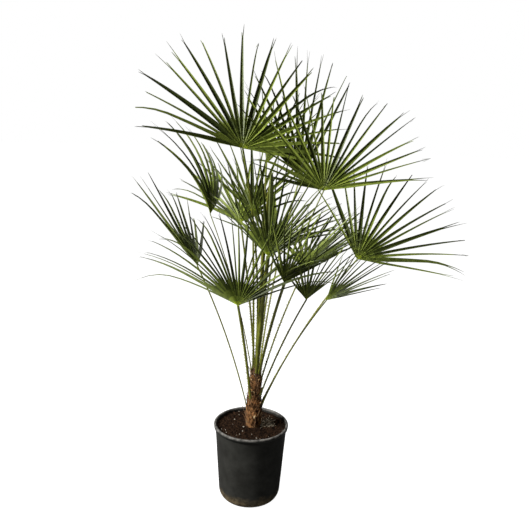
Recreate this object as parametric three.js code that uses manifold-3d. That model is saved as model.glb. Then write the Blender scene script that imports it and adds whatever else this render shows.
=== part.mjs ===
// A european fan palm, about 1.6 m tall, in a black nursery pot.
// Millimetres, +Z up. The origin is the middle of the pot's flat underside, and the
// plant is seen from -Y. Angles are degrees, and azimuths turn from +X towards +Y.
import * as THREE from 'three';
import { mergeVertices } from 'three/addons/utils/BufferGeometryUtils.js';
import Module from 'manifold-3d';

const wasm = await Module();
wasm.setup();

// The gap between parts that meet, the distance within which points are one, and the
// thickness below which a sliver left by a cut is merged away
const CLEARANCE = 0.3;
const WELD_DISTANCE = 1e-4;
const SLIVER = 0.08;

// Pot and soil
const POT_HEIGHT = 275;
const POT_RIM_RADIUS = 130;
const POT_WALL = 3;
const POT_FLOOR = 4;
const POT_SIDES = 40;
const LIP_HEIGHT = 13;
const LIP_OVERHANG = 6;
const LIP_ROUNDING = 2.5;
const FOOT_RADIUS = 85;
const FOOT_CORNER_RADIUS = 108.5;
const FOOT_CORNER_HEIGHT = 36;
const FOOT_CORNER_STEPS = 5;
const SOIL_LEVEL = 259;
const SOIL_MOUND = 5;
const SOIL_MOUND_RADIUS = 70;
const SOIL_SHOULDER = 0.6;

// Trunk
const TRUNK_FOOT = new THREE.Vector3(7, 0, SOIL_LEVEL + SOIL_MOUND + CLEARANCE);
const TRUNK_TOP = new THREE.Vector3(11, 0, 452);
const TRUNK_FOOT_RADIUS = 25;
const TRUNK_TOP_RADIUS = 14.8;
const TRUNK_FLARE = 7;
const TRUNK_FLARE_REACH = 0.18;
const TRUNK_SIDES = 16;
const TRUNK_RINGS = 12;
const BOOT_ROWS = 4;
const BOOTS_ROUND = 5;
const BOOT_RELIEF = 2.6;
const BOOT_HOLLOW = 0.4;
const BOOT_SWELL = 0.35;

// Stubs of old leaf stalks on the trunk
const STUB_ROWS = 4;
const STUBS_ROUND = 4;
const STUB_LOWEST = 0.14;
const STUB_HIGHEST = 0.86;
const STUB_LENGTH = 34;
const STUB_LENGTH_CHANGE = 0.2;
const STUB_TURN = 20;
const STUB_LEAN = 24;
const STUB_HALF_WIDTH = 7;
const STUB_SINK = 10;
const STUB_START = 1 / 3;
const STUB_WIDTHS = [[0, 1.1], [0.6, 0.8], [1, 0.45]];
const STUB_SECTION = [[-1, -0.2], [0, -0.6], [1, -0.2], [0.6, 0.4], [-0.6, 0.4]];

// The spear: the youngest leaf, still folded, at the middle of the crown
const SPEAR_BASE = [280, 5.2, 452];
const SPEAR_TIP = [-58, 50, 1150];
const SPEAR_ARCH = 8;
const SPEAR_WIDTHS = [
  [0, 3.4], [0.25, 6.5], [0.5, 7.5], [0.6, 6.5],
  [0.72, 8.5], [0.84, 7], [0.93, 3.6], [1, 0.8],
];

// Petioles
const PETIOLE_SIDES = 6;
const PETIOLE_STEPS = 9;
const PETIOLE_BASE_HALF_WIDTH = 3.5;
const PETIOLE_TIP_HALF_WIDTH = 3.2;
const PETIOLE_POINT_HALF_WIDTH = 1.6;
const PETIOLE_POINT_LENGTH = 14;
const PETIOLE_FLATNESS = 0.72;
const GIRTH_REACH = 0.25;
const PETIOLE_SINK = 5;
const HUB_GAP = 0.6;

// Fan blades
const RIB_THICKNESS = 4;
const MARGIN_THICKNESS = 1.5;
const HUB_THICKNESS = 4;
const PALMAN_SHARE = 0.2;
const PALMAN_CHANGE = 0.2;
const PLEAT_DEPTH = 0.5;
const SLOPE_TURN = 1;
const SLOPE_STRETCH = 1.02;
const SLOPE_STEP = 1;
const SPACING_CHANGE = 0.16;
const SPACING_TURN = 2.3;
const LENGTH_CHANGE = 0.035;
const TIP_SWAY = 0.04;
const TIP_BEND_POWER = 1.5;
const TAPERED_THICKNESS = 0.45;
const BENT_FROM = 0.08;
const STRAIGHT_STATIONS = [[0.42, 0.78]];
const BENT_STATIONS = [[0.3, 0.9], [0.65, 0.56]];
const NUDGES = [0, 0.03, -0.03, 0.06, -0.06, 0.09, -0.09, 0.12, -0.12, 0.16, -0.16];
const SHORTENINGS = [1, 0.75, 0.5, 0.3, 0.1];
const TEST_GROWTH = 0.5;
const OBSTACLE_GROWTH = 0.05;

// Steady pseudo-random values
const NOISE_STEPS = [12.9898, 78.233, 37.719];
const NOISE_SPREAD = 43758.5453;
const NOISE_FOR = { length: 1, sway: 2, rise: 3, sinus: 5, stubTurn: 7, stubLength: 8 };

// Colours and roughness
const LEAF_GREEN = 0x3f5a2a;
const STALK_GREEN = 0x6b7f37;
const TRUNK_BROWN = 0x5b3f2c;
const SOIL_BROWN = 0x2b211b;
const POT_BLACK = 0x1c1c1d;
const LEAF_ROUGHNESS = 0.5;
const STALK_ROUGHNESS = 0.55;
const POT_ROUGHNESS = 0.55;
const ROUGH_ROUGHNESS = 0.9;

// Each frond: where its petiole leaves the trunk (base) and ends (hub), as azimuth,
// distance from the plant's axis and height; how far the petiole arches, and its girth;
// where the blade's middle points (heading, rise), its bank round that line, its reach, its
// spread to the left and right, the number of its leaflets, how far they are cupped, folded
// up at the sides, curled back and bent down, and how much shorter the outer ones are, or
// longer where that is below 0.
const FRONDS = [
  { name: 'high_left', base: [160, 5.2, 452], hub: [138, 90, 1216], arch: 38, girth: 1.15,
    heading: 122, rise: 64, bank: 14, reach: 444, left: 78, right: 118, leaflets: 22,
    cup: 10, fold: 5, curl: 0, droop: 0.05, shorten: 0.25 },
  { name: 'high_back', base: [40, 5.2, 452], hub: [87, 220, 1160], arch: 30, girth: 1,
    heading: 56, rise: 42, bank: -14, reach: 345, left: 30, right: 34, leaflets: 8,
    cup: 9, fold: 10, curl: 0, droop: 0.03, shorten: 0.2 },
  { name: 'high_right', base: [35, 12.2, 452], hub: [38, 160, 1125], arch: 20, girth: 1,
    heading: 100, rise: 72, bank: 6, reach: 450, left: 46, right: 34, leaflets: 12,
    cup: 7, fold: 6, curl: 0, droop: 0.04, shorten: 0.3 },
  { name: 'upper_right', base: [0, 12.2, 452], hub: [6, 202, 1092], arch: 20, girth: 1.15,
    heading: 24, rise: 56, bank: -60, reach: 390, left: 116, right: 54, leaflets: 22,
    cup: 10, fold: 8, curl: 0.04, droop: 0.04, shorten: 0.38 },
  { name: 'upper_left', base: [178, 12.2, 452], hub: [173, 168, 1004], arch: 15, girth: 0.85,
    heading: 176, rise: 82, bank: 18, reach: 345, left: 30, right: 60, leaflets: 8,
    cup: 6, fold: 4, curl: 0.5, droop: 0.06, shorten: 0.2 },
  { name: 'mid_left', base: [182, 22, 312], hub: [186, 203, 837], arch: 15, girth: 1.4,
    heading: 183, rise: 50, bank: 9, reach: 362, left: 14, right: 76, leaflets: 10,
    cup: 5, fold: 4, curl: 0, droop: 0.02, shorten: 0.2 },
  { name: 'low_front', base: [222, 19.5, 360], hub: [248, 162, 744], arch: 8, girth: 1.4,
    heading: 232, rise: 64, bank: -16, reach: 392, left: 76, right: 70, leaflets: 25,
    cup: 10, fold: 2, curl: 0.05, droop: 0.13, shorten: -0.1 },
  { name: 'front', base: [275, 12.2, 452], hub: [281, 143, 902], arch: 8, girth: 2,
    heading: 262, rise: 68, bank: 8, reach: 352, left: 66, right: 64, leaflets: 24,
    cup: 14, fold: 7, curl: 0, droop: 0.02, shorten: 0.25 },
  { name: 'front_right', base: [315, 12.2, 452], hub: [291, 218, 836], arch: 10, girth: 1.2,
    heading: 322, rise: 46, bank: 25, reach: 340, left: 38, right: 56, leaflets: 16,
    cup: 6, fold: 2, curl: 0, droop: 0.03, shorten: 0.35 },
  { name: 'low_right', base: [322, 18.7, 375], hub: [317, 206, 768], arch: 10, girth: 1.2,
    heading: 312, rise: 50, bank: 20, reach: 290, left: 26, right: 58, leaflets: 14,
    cup: 6, fold: 2, curl: 0, droop: 0.03, shorten: 0.4 },
  { name: 'side_right', base: [348, 20.9, 335], hub: [347, 228, 743], arch: 15, girth: 1.25,
    heading: 9, rise: 34, bank: -13, reach: 265, left: 48, right: 46, leaflets: 12,
    cup: 5, fold: 2, curl: 0, droop: 0.03, shorten: 0.2 },
  { name: 'mid_right', base: [12, 20.3, 345], hub: [7, 330, 864], arch: 20, girth: 1.25,
    heading: 18, rise: 40, bank: -48, reach: 392, left: 78, right: 62, leaflets: 17,
    cup: 8, fold: 4, curl: 0.02, droop: 0.05, shorten: 0.15 },
  { name: 'upper_back', base: [142, 12.2, 452], hub: [100, 178, 990], arch: 22, girth: 1,
    heading: 96, rise: 50, bank: 0, reach: 350, left: 54, right: 54, leaflets: 13,
    cup: 10, fold: 8, curl: 0.03, droop: 0.04, shorten: 0.25 },
  { name: 'back_left', base: [107, 12.2, 452], hub: [110, 215, 950], arch: 18, girth: 1,
    heading: 104, rise: 34, bank: 4, reach: 345, left: 66, right: 80, leaflets: 15,
    cup: 10, fold: 6, curl: 0.05, droop: 0.06, shorten: 0.2 },
  { name: 'back', base: [71, 12.2, 452], hub: [78, 260, 860], arch: 20, girth: 1,
    heading: 80, rise: 26, bank: -4, reach: 360, left: 80, right: 80, leaflets: 17,
    cup: 10, fold: 6, curl: 0.05, droop: 0.06, shorten: 0.2 },
  { name: 'back_right', base: [62, 18.3, 385], hub: [46, 235, 800], arch: 18, girth: 1,
    heading: 46, rise: 34, bank: 8, reach: 330, left: 78, right: 78, leaflets: 15,
    cup: 10, fold: 6, curl: 0.04, droop: 0.06, shorten: 0.2 },
];

const TRIES = SHORTENINGS.flatMap((cut) => NUDGES.map((nudge) => ({ cut, nudge })));
const UP = new THREE.Vector3(0, 0, 1);
const AXIS_FOOT = new THREE.Vector3(TRUNK_TOP.x, TRUNK_TOP.y, 0);
const degrees = Math.PI / 180;

// A steady pseudo-random value from -1 to 1 for two whole numbers and a purpose
function swing(a, b, purpose) {
  const phase = a * NOISE_STEPS[0] + b * NOISE_STEPS[1] + purpose * NOISE_STEPS[2];
  const wave = Math.sin(phase) * NOISE_SPREAD;
  return 2 * (wave - Math.floor(wave)) - 1;
}

function polar(azimuth, radius, height) {
  const angle = azimuth * degrees;
  return new THREE.Vector3(radius * Math.cos(angle), radius * Math.sin(angle), height);
}

// Closed meshes from points and triangles, and back
function solidOf(points, triangles) {
  const geometry = new THREE.BufferGeometry();
  const values = points.flatMap((point) => point.toArray());
  geometry.setAttribute('position', new THREE.Float32BufferAttribute(values, 3));
  geometry.setIndex(triangles.flat());
  return geometry;
}

function toManifold(geometry) {
  const bare = geometry.clone();
  bare.deleteAttribute('normal');
  bare.deleteAttribute('uv');
  const merged = mergeVertices(bare, WELD_DISTANCE);
  const mesh = new wasm.Mesh({
    numProp: 3,
    vertProperties: new Float32Array(merged.attributes.position.array),
    triVerts: new Uint32Array(merged.index.array),
  });
  return new wasm.Manifold(mesh);
}

function fromManifold(solid) {
  const mesh = solid.simplify(SLIVER).getMesh();
  const geometry = new THREE.BufferGeometry();
  geometry.setAttribute('position', new THREE.BufferAttribute(new Float32Array(mesh.vertProperties), 3));
  geometry.setIndex(new THREE.BufferAttribute(new Uint32Array(mesh.triVerts), 1));
  return geometry;
}

// The outer skin of a fused solid, with any hollow that the fusing sealed now filled
function largestBody(solid) {
  return solid.decompose().reduce((best, body) => (body.volume() > best.volume() ? body : best));
}

function namedMesh(name, geometry, color, roughness) {
  geometry.computeVertexNormals();
  const mesh = new THREE.Mesh(geometry, new THREE.MeshStandardMaterial({ color, roughness, metalness: 0 }));
  mesh.name = name;
  return mesh;
}

// Rings of points joined into a tube, with a flat cap at each end
function loft(rings) {
  const sides = rings[0].length;
  const points = rings.flat();
  const triangles = [];
  for (let row = 0; row + 1 < rings.length; row += 1) {
    for (let side = 0; side < sides; side += 1) {
      const next = (side + 1) % sides;
      const low = row * sides;
      const high = low + sides;
      triangles.push([low + side, low + next, high + next]);
      triangles.push([low + side, high + next, high + side]);
    }
  }
  const last = (rings.length - 1) * sides;
  for (let side = 1; side + 1 < sides; side += 1) {
    triangles.push([0, side + 1, side]);
    triangles.push([last, last + side, last + side + 1]);
  }
  return solidOf(points, triangles);
}

// The pot: a tapered shell with a rounded foot and a rolled lip
function bodyRadiusAt(height) {
  const lipFoot = POT_HEIGHT - LIP_HEIGHT;
  const share = (height - FOOT_CORNER_HEIGHT) / (lipFoot - FOOT_CORNER_HEIGHT);
  return FOOT_CORNER_RADIUS + share * (POT_RIM_RADIUS - LIP_OVERHANG - FOOT_CORNER_RADIUS);
}

function footCorner(inset, floor) {
  const points = [];
  for (let step = 0; step <= FOOT_CORNER_STEPS; step += 1) {
    const angle = (step / FOOT_CORNER_STEPS) * 90 * degrees;
    const radius = FOOT_RADIUS + (FOOT_CORNER_RADIUS - FOOT_RADIUS) * Math.sin(angle) - inset;
    points.push(new THREE.Vector2(radius, floor + (FOOT_CORNER_HEIGHT - floor) * (1 - Math.cos(angle))));
  }
  return points;
}

function potGeometry() {
  const lipFoot = POT_HEIGHT - LIP_HEIGHT;
  const wallTop = POT_RIM_RADIUS - LIP_OVERHANG;
  const outside = [
    new THREE.Vector2(0, 0),
    ...footCorner(0, 0),
    new THREE.Vector2(wallTop, lipFoot),
    new THREE.Vector2(POT_RIM_RADIUS - LIP_ROUNDING, lipFoot),
    new THREE.Vector2(POT_RIM_RADIUS, lipFoot + LIP_ROUNDING),
    new THREE.Vector2(POT_RIM_RADIUS, POT_HEIGHT - LIP_ROUNDING),
    new THREE.Vector2(POT_RIM_RADIUS - LIP_ROUNDING, POT_HEIGHT),
  ];
  const inside = [
    ...footCorner(POT_WALL, POT_FLOOR).reverse(),
    new THREE.Vector2(0, POT_FLOOR),
  ];
  const rimInside = [
    new THREE.Vector2(wallTop - POT_WALL + LIP_ROUNDING, POT_HEIGHT),
    new THREE.Vector2(wallTop - POT_WALL, POT_HEIGHT - LIP_ROUNDING),
    new THREE.Vector2(wallTop - POT_WALL, lipFoot),
  ];
  return new THREE.LatheGeometry([...outside, ...rimInside, ...inside], POT_SIDES).rotateX(90 * degrees);
}

function soilGeometry() {
  const inset = POT_WALL + CLEARANCE;
  const profile = [
    new THREE.Vector2(0, POT_FLOOR + CLEARANCE),
    ...footCorner(inset, POT_FLOOR + CLEARANCE),
    new THREE.Vector2(bodyRadiusAt(SOIL_LEVEL) - inset, SOIL_LEVEL),
    new THREE.Vector2(SOIL_MOUND_RADIUS, SOIL_LEVEL + SOIL_MOUND * SOIL_SHOULDER),
    new THREE.Vector2(SOIL_MOUND_RADIUS * SOIL_SHOULDER, SOIL_LEVEL + SOIL_MOUND),
    new THREE.Vector2(0, SOIL_LEVEL + SOIL_MOUND),
  ];
  return new THREE.LatheGeometry(profile, POT_SIDES).rotateX(90 * degrees);
}

// The trunk: a flared column with rows of old leaf bases
function trunkGeometry(growth) {
  const rings = [];
  for (let row = 0; row <= TRUNK_RINGS; row += 1) {
    const share = row / TRUNK_RINGS;
    const center = TRUNK_FOOT.clone().lerp(TRUNK_TOP, share);
    center.z += row === TRUNK_RINGS ? growth : 0;
    const flare = TRUNK_FLARE * Math.max(0, 1 - share / TRUNK_FLARE_REACH) ** 2;
    const radius = TRUNK_FOOT_RADIUS + (TRUNK_TOP_RADIUS - TRUNK_FOOT_RADIUS) * share + flare + growth;
    const ring = [];
    for (let side = 0; side < TRUNK_SIDES; side += 1) {
      const azimuth = (360 * side) / TRUNK_SIDES;
      const bootRow = share * BOOT_ROWS;
      const turn = azimuth * BOOTS_ROUND + 180 * Math.floor(bootRow);
      const step = bootRow - Math.floor(bootRow);
      const swell = step - BOOT_HOLLOW + BOOT_SWELL * Math.cos(turn * degrees);
      const relief = row === 0 || row === TRUNK_RINGS ? 0 : BOOT_RELIEF * swell;
      const offset = polar(azimuth, radius + relief, 0);
      ring.push(center.clone().add(offset));
    }
    rings.push(ring);
  }
  return loft(rings);
}

function stubGeometry(row, place) {
  const share = STUB_LOWEST + ((STUB_HIGHEST - STUB_LOWEST) * row) / (STUB_ROWS - 1);
  const turned = STUB_TURN * swing(row, place, NOISE_FOR.stubTurn);
  const azimuth = (360 * (place + 0.5 * (row % 2))) / STUBS_ROUND + turned;
  const center = TRUNK_FOOT.clone().lerp(TRUNK_TOP, share);
  const radius = TRUNK_FOOT_RADIUS + (TRUNK_TOP_RADIUS - TRUNK_FOOT_RADIUS) * share;
  const outward = polar(azimuth, 1, 0);
  const across = new THREE.Vector3().crossVectors(UP, outward);
  const lean = STUB_LEAN * degrees;
  const along = UP.clone().multiplyScalar(Math.cos(lean)).addScaledVector(outward, Math.sin(lean));
  const length = STUB_LENGTH * (1 + STUB_LENGTH_CHANGE * swing(row, place, NOISE_FOR.stubLength));
  const start = center
    .addScaledVector(outward, radius - STUB_SINK)
    .addScaledVector(along, -length * STUB_START);
  const back = new THREE.Vector3().crossVectors(across, along);
  const rings = STUB_WIDTHS.map(([at, width]) => {
    const middle = start.clone().addScaledVector(along, length * at);
    const half = STUB_HALF_WIDTH * width;
    return STUB_SECTION.map(([x, y]) => middle.clone()
      .addScaledVector(across, half * x)
      .addScaledVector(back, half * y));
  });
  return loft(rings);
}

// The petioles: slim stalks, flat towards the plant's axis, that arch to their blade's hub
function hubOf(frond) {
  return polar(...frond.hub).add(AXIS_FOOT);
}

function archedPath(base, hub, arch) {
  const start = polar(...base).add(AXIS_FOOT);
  const end = polar(...hub).add(AXIS_FOOT);
  const way = end.clone().sub(start);
  const outward = new THREE.Vector3(way.x, way.y, 0);
  const flat = outward.length();
  outward.normalize();
  const lift = UP.clone()
    .multiplyScalar(flat / way.length())
    .addScaledVector(outward, -way.z / way.length());
  const middle = start.clone().lerp(end, 0.5).addScaledVector(lift, 2 * arch);
  start.addScaledVector(middle.clone().sub(start).normalize(), -PETIOLE_SINK);
  return { bend: new THREE.QuadraticBezierCurve3(start, middle, end), outward };
}

// A flattened stalk along a path, from pairs of a share of its length and a half width
function stalkGeometry({ bend, outward }, widths) {
  const rings = widths.map(([share, halfWidth]) => {
    const center = bend.getPointAt(share);
    const along = bend.getTangentAt(share);
    const across = new THREE.Vector3().crossVectors(along, outward).normalize();
    const back = new THREE.Vector3().crossVectors(across, along).normalize();
    return Array.from({ length: PETIOLE_SIDES }, (_, side) => {
      const angle = ((side + 0.5) / PETIOLE_SIDES) * 360 * degrees;
      return center.clone()
        .addScaledVector(across, halfWidth * Math.cos(angle))
        .addScaledVector(back, -halfWidth * PETIOLE_FLATNESS * Math.sin(angle));
    });
  });
  return loft(rings);
}

function petioleGeometry(frond) {
  const path = archedPath(frond.base, frond.hub, frond.arch);
  const length = path.bend.getLength();
  const pointShare = 1 - PETIOLE_POINT_LENGTH / length;
  const widths = Array.from({ length: PETIOLE_STEPS }, (_, step) => {
    const share = (step / (PETIOLE_STEPS - 1)) * pointShare;
    const taper = (PETIOLE_BASE_HALF_WIDTH - PETIOLE_TIP_HALF_WIDTH) * share;
    const swell = 1 + (frond.girth - 1) * Math.min(1, share / GIRTH_REACH);
    return [share, (PETIOLE_BASE_HALF_WIDTH - taper) * swell];
  });
  widths.push([1 - HUB_GAP / length, PETIOLE_POINT_HALF_WIDTH]);
  return stalkGeometry(path, widths);
}

function spearGeometry() {
  return stalkGeometry(archedPath(SPEAR_BASE, SPEAR_TIP, SPEAR_ARCH), SPEAR_WIDTHS);
}

// The fan: a cupped, pleated blade whose leaflets part at the sinus and run on to their tips
function bladeFrame(frond) {
  const heading = frond.heading * degrees;
  const rise = frond.rise * degrees;
  const bank = frond.bank * degrees;
  const forward = new THREE.Vector3(
    Math.cos(rise) * Math.cos(heading),
    Math.cos(rise) * Math.sin(heading),
    Math.sin(rise),
  );
  const level = new THREE.Vector3(Math.sin(heading), -Math.cos(heading), 0);
  const above = new THREE.Vector3().crossVectors(level, forward);
  const side = level.clone().multiplyScalar(Math.cos(bank)).addScaledVector(above, Math.sin(bank));
  const face = above.clone().multiplyScalar(Math.cos(bank)).addScaledVector(level, -Math.sin(bank));
  return { hub: hubOf(frond), forward, side, face };
}

function fanRay(frond, frame, angle) {
  const share = Math.abs(angle) / Math.max(frond.left, frond.right);
  const cup = (frond.cup + frond.fold * share) * degrees;
  const turn = angle * degrees;
  const ray = frame.forward.clone().multiplyScalar(Math.cos(cup) * Math.cos(turn))
    .addScaledVector(frame.side, Math.cos(cup) * Math.sin(turn))
    .addScaledVector(frame.face, Math.sin(cup));
  return { ray, share };
}

function fanPoint(frond, frame, angle, distance) {
  const { ray } = fanRay(frond, frame, angle);
  const share = distance / frond.reach;
  return frame.hub.clone()
    .addScaledVector(ray, distance)
    .addScaledVector(frame.face, -frond.curl * frond.reach * share ** 2)
    .addScaledVector(UP, -frond.droop * frond.reach * share ** 3);
}

// The leaflets stand closer and wider by turns
function edgeAngle(frond, edge) {
  const shifted = edge + SPACING_CHANGE * Math.sin(edge * SPACING_TURN + frond.reach);
  return -frond.left + ((frond.left + frond.right) * shifted) / frond.leaflets;
}

// Half the width of a leaflet where it lies the given distance from the hub, still joined
function halfWidthAt(frond, distance) {
  return distance * Math.tan(((frond.left + frond.right) / frond.leaflets / 2) * degrees);
}

function sinusDistance(frond, seed, edge) {
  return frond.reach * PALMAN_SHARE * (1 + PALMAN_CHANGE * swing(seed, edge, NOISE_FOR.sinus));
}

// The local directions on the fan: across the leaflet, and up from its face
function fanAxes(frond, frame, angle, distance) {
  const here = fanPoint(frond, frame, angle, distance);
  const beside = fanPoint(frond, frame, angle + SLOPE_TURN, distance);
  const beyond = fanPoint(frond, frame, angle, distance * SLOPE_STRETCH + SLOPE_STEP);
  const across = beside.sub(here).normalize();
  const along = beyond.sub(here).normalize();
  const lift = new THREE.Vector3().crossVectors(across, along).normalize();
  return { here, across, lift };
}

// One leaflet's points beyond the sinus, bent by a nudge and cut to a share of its length
function leafletStations(frond, frame, seed, index, nudge, cut) {
  const angle = edgeAngle(frond, index + 0.5);
  const { share } = fanRay(frond, frame, angle);
  const change = 1 + LENGTH_CHANGE * swing(seed, index, NOISE_FOR.length);
  const full = frond.reach * (1 - frond.shorten * share ** 2) * change;
  const root = frond.reach * PALMAN_SHARE;
  const length = root + (full - root) * cut;
  const sway = TIP_SWAY * swing(seed, index, NOISE_FOR.sway);
  const rise = TIP_SWAY * swing(seed, index, NOISE_FOR.rise) + nudge;
  const halfWidth = halfWidthAt(frond, root);
  const isBent = Math.max(frond.curl, frond.droop) > BENT_FROM;
  const stations = (isBent ? BENT_STATIONS : STRAIGHT_STATIONS).map(([at, widthShare]) => {
    const distance = root + (length - root) * at;
    const { here, across, lift } = fanAxes(frond, frame, angle, distance);
    const bend = length * at ** TIP_BEND_POWER;
    here.addScaledVector(across, sway * bend).addScaledVector(lift, rise * bend);
    const reach = halfWidth * widthShare;
    const thick = RIB_THICKNESS * TAPERED_THICKNESS * (1 + widthShare);
    return { here, across, lift, reach, thick };
  });
  const end = fanAxes(frond, frame, angle, length);
  const tip = end.here
    .addScaledVector(end.across, sway * length)
    .addScaledVector(end.lift, rise * length);
  return { stations, tip };
}

function stationPoints(station, growth) {
  const { here, across, lift, reach, thick } = station;
  const pleat = reach * PLEAT_DEPTH;
  const grown = reach + growth;
  return {
    left: here.clone().addScaledVector(across, -grown).addScaledVector(lift, pleat),
    right: here.clone().addScaledVector(across, grown).addScaledVector(lift, pleat),
    ribTop: here.clone().addScaledVector(lift, -pleat + thick / 2 + growth),
    ribBottom: here.clone().addScaledVector(lift, -pleat - thick / 2 - growth),
  };
}

function sinusPoints(frond, frame, seed, growth) {
  const edges = [];
  const ribs = [];
  for (let edge = 0; edge <= frond.leaflets; edge += 1) {
    const distance = sinusDistance(frond, seed, edge);
    const angle = edgeAngle(frond, edge);
    const { here, lift } = fanAxes(frond, frame, angle, distance);
    const pleat = halfWidthAt(frond, distance) * PLEAT_DEPTH;
    edges.push({
      top: here.clone().addScaledVector(lift, pleat + MARGIN_THICKNESS / 2 + growth),
      bottom: here.clone().addScaledVector(lift, pleat - MARGIN_THICKNESS / 2 - growth),
    });
    if (edge < frond.leaflets) {
      const middle = fanAxes(frond, frame, edgeAngle(frond, edge + 0.5), frond.reach * PALMAN_SHARE);
      const sunk = middle.here.addScaledVector(middle.lift, -pleat);
      ribs.push({
        top: sunk.clone().addScaledVector(middle.lift, RIB_THICKNESS / 2 + growth),
        bottom: sunk.clone().addScaledVector(middle.lift, -RIB_THICKNESS / 2 - growth),
      });
    }
  }
  const half = HUB_THICKNESS / 2 + growth;
  const hubTop = frame.hub.clone().addScaledVector(frame.face, half);
  const hubBottom = frame.hub.clone().addScaledVector(frame.face, -half);
  return { edges, ribs, hubTop, hubBottom };
}

// The undivided middle of the blade, as a solid of its own for clearance tests
function palmanGeometry(frond, frame, seed, growth) {
  const { edges, ribs, hubTop, hubBottom } = sinusPoints(frond, frame, seed, growth);
  const points = [hubTop, hubBottom];
  edges.forEach(({ top, bottom }) => points.push(top, bottom));
  const ribStart = points.length;
  ribs.forEach(({ top, bottom }) => points.push(top, bottom));
  const triangles = [];
  for (let index = 0; index < frond.leaflets; index += 1) {
    const left = 2 + 2 * index;
    const right = left + 2;
    const rib = ribStart + 2 * index;
    triangles.push([0, rib, left], [0, right, rib]);
    triangles.push([1, left + 1, rib + 1], [1, rib + 1, right + 1]);
    triangles.push([left, rib, rib + 1], [left, rib + 1, left + 1]);
    triangles.push([rib, right, right + 1], [rib, right + 1, rib + 1]);
  }
  const last = 2 + 2 * frond.leaflets;
  triangles.push([0, 2, 3], [0, 3, 1]);
  triangles.push([0, last + 1, last], [0, 1, last + 1]);
  return solidOf(points, triangles);
}

// The skin of one leaflet from its root's corners at the sinus to its tip
function addLeaflet(points, triangles, root, leaflet, growth) {
  let from = root;
  leaflet.stations.forEach((station) => {
    const at = stationPoints(station, growth);
    const left = points.push(at.left, at.right, at.ribTop, at.ribBottom) - 4;
    const right = left + 1;
    const ribTop = left + 2;
    const ribBottom = left + 3;
    triangles.push([from.leftTop, from.ribTop, ribTop], [from.leftTop, ribTop, left]);
    triangles.push([from.ribTop, from.rightTop, right], [from.ribTop, right, ribTop]);
    triangles.push([from.leftBottom, ribBottom, from.ribBottom], [from.leftBottom, left, ribBottom]);
    triangles.push([from.ribBottom, right, from.rightBottom], [from.ribBottom, ribBottom, right]);
    if (from === root) {
      triangles.push([from.leftTop, left, from.leftBottom], [from.rightTop, from.rightBottom, right]);
    }
    from = { leftTop: left, leftBottom: left, rightTop: right, rightBottom: right, ribTop, ribBottom };
  });
  const tip = points.push(leaflet.tip) - 1;
  triangles.push([from.leftTop, from.ribTop, tip], [from.ribTop, from.rightTop, tip]);
  triangles.push([from.leftTop, tip, from.ribBottom], [from.ribBottom, tip, from.rightTop]);
}

// One leaflet beyond the sinus, as a solid of its own for clearance tests
function leafletGeometry(sinus, index, leaflet, growth) {
  const left = sinus.edges[index];
  const right = sinus.edges[index + 1];
  const rib = sinus.ribs[index];
  const points = [left.top, left.bottom, rib.top, rib.bottom, right.top, right.bottom];
  const root = {
    leftTop: 0,
    leftBottom: 1,
    ribTop: 2,
    ribBottom: 3,
    rightTop: 4,
    rightBottom: 5,
  };
  const triangles = [[2, 0, 1], [2, 1, 3], [4, 2, 3], [4, 3, 5]];
  addLeaflet(points, triangles, root, leaflet, growth);
  return solidOf(points, triangles);
}

// The whole blade as one closed skin
function bladeGeometry(frond, sinus, leaflets) {
  const points = [sinus.hubTop, sinus.hubBottom];
  sinus.edges.forEach(({ top, bottom }) => points.push(top, bottom));
  const triangles = [];
  sinus.ribs.forEach((rib, index) => {
    const left = 2 + 2 * index;
    const right = left + 2;
    const ribTop = points.push(rib.top, rib.bottom) - 2;
    const ribBottom = ribTop + 1;
    const root = {
      leftTop: left,
      leftBottom: left + 1,
      ribTop,
      ribBottom,
      rightTop: right,
      rightBottom: right + 1,
    };
    triangles.push([0, ribTop, left], [0, right, ribTop]);
    triangles.push([1, root.leftBottom, ribBottom], [1, ribBottom, root.rightBottom]);
    addLeaflet(points, triangles, root, leaflets[index], 0);
  });
  const last = 2 + 2 * frond.leaflets;
  triangles.push([0, 2, 3], [0, 3, 1]);
  triangles.push([0, last + 1, last], [0, 1, last + 1]);
  return solidOf(points, triangles);
}

// Clearance tests between solids
function obstacle(solid, owner) {
  return { solid, owner, box: solid.boundingBox() };
}

function boxesMeet(a, b) {
  return [0, 1, 2].every((axis) => a.min[axis] <= b.max[axis] && b.min[axis] <= a.max[axis]);
}

function isFree(candidate, owner, obstacles) {
  const box = candidate.boundingBox();
  return obstacles.every((other) => other.owner === owner
    || !boxesMeet(box, other.box)
    || candidate.intersect(other.solid).isEmpty());
}

// The plant is put together: trunk and petioles first, then the blades' middles, then the
// leaflets one by one, each bent a little, shortened or left short where it would touch
const plant = new THREE.Group();
plant.add(namedMesh('pot', potGeometry(), POT_BLACK, POT_ROUGHNESS));
plant.add(namedMesh('soil', soilGeometry(), SOIL_BROWN, ROUGH_ROUGHNESS));

const obstacles = [];
const grownTrunk = toManifold(trunkGeometry(CLEARANCE));
const spear = toManifold(spearGeometry()).subtract(grownTrunk);
obstacles.push(obstacle(spear, 'spear_leaf'));
plant.add(namedMesh('spear_leaf', fromManifold(spear), STALK_GREEN, STALK_ROUGHNESS));
FRONDS.forEach((frond, seed) => {
  const palman = toManifold(palmanGeometry(frond, bladeFrame(frond), seed, CLEARANCE));
  const petiole = toManifold(petioleGeometry(frond)).subtract(grownTrunk).subtract(palman);
  obstacles.push(obstacle(petiole, `petiole_${frond.name}`));
  plant.add(namedMesh(`petiole_${frond.name}`, fromManifold(petiole), STALK_GREEN, STALK_ROUGHNESS));
});

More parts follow.
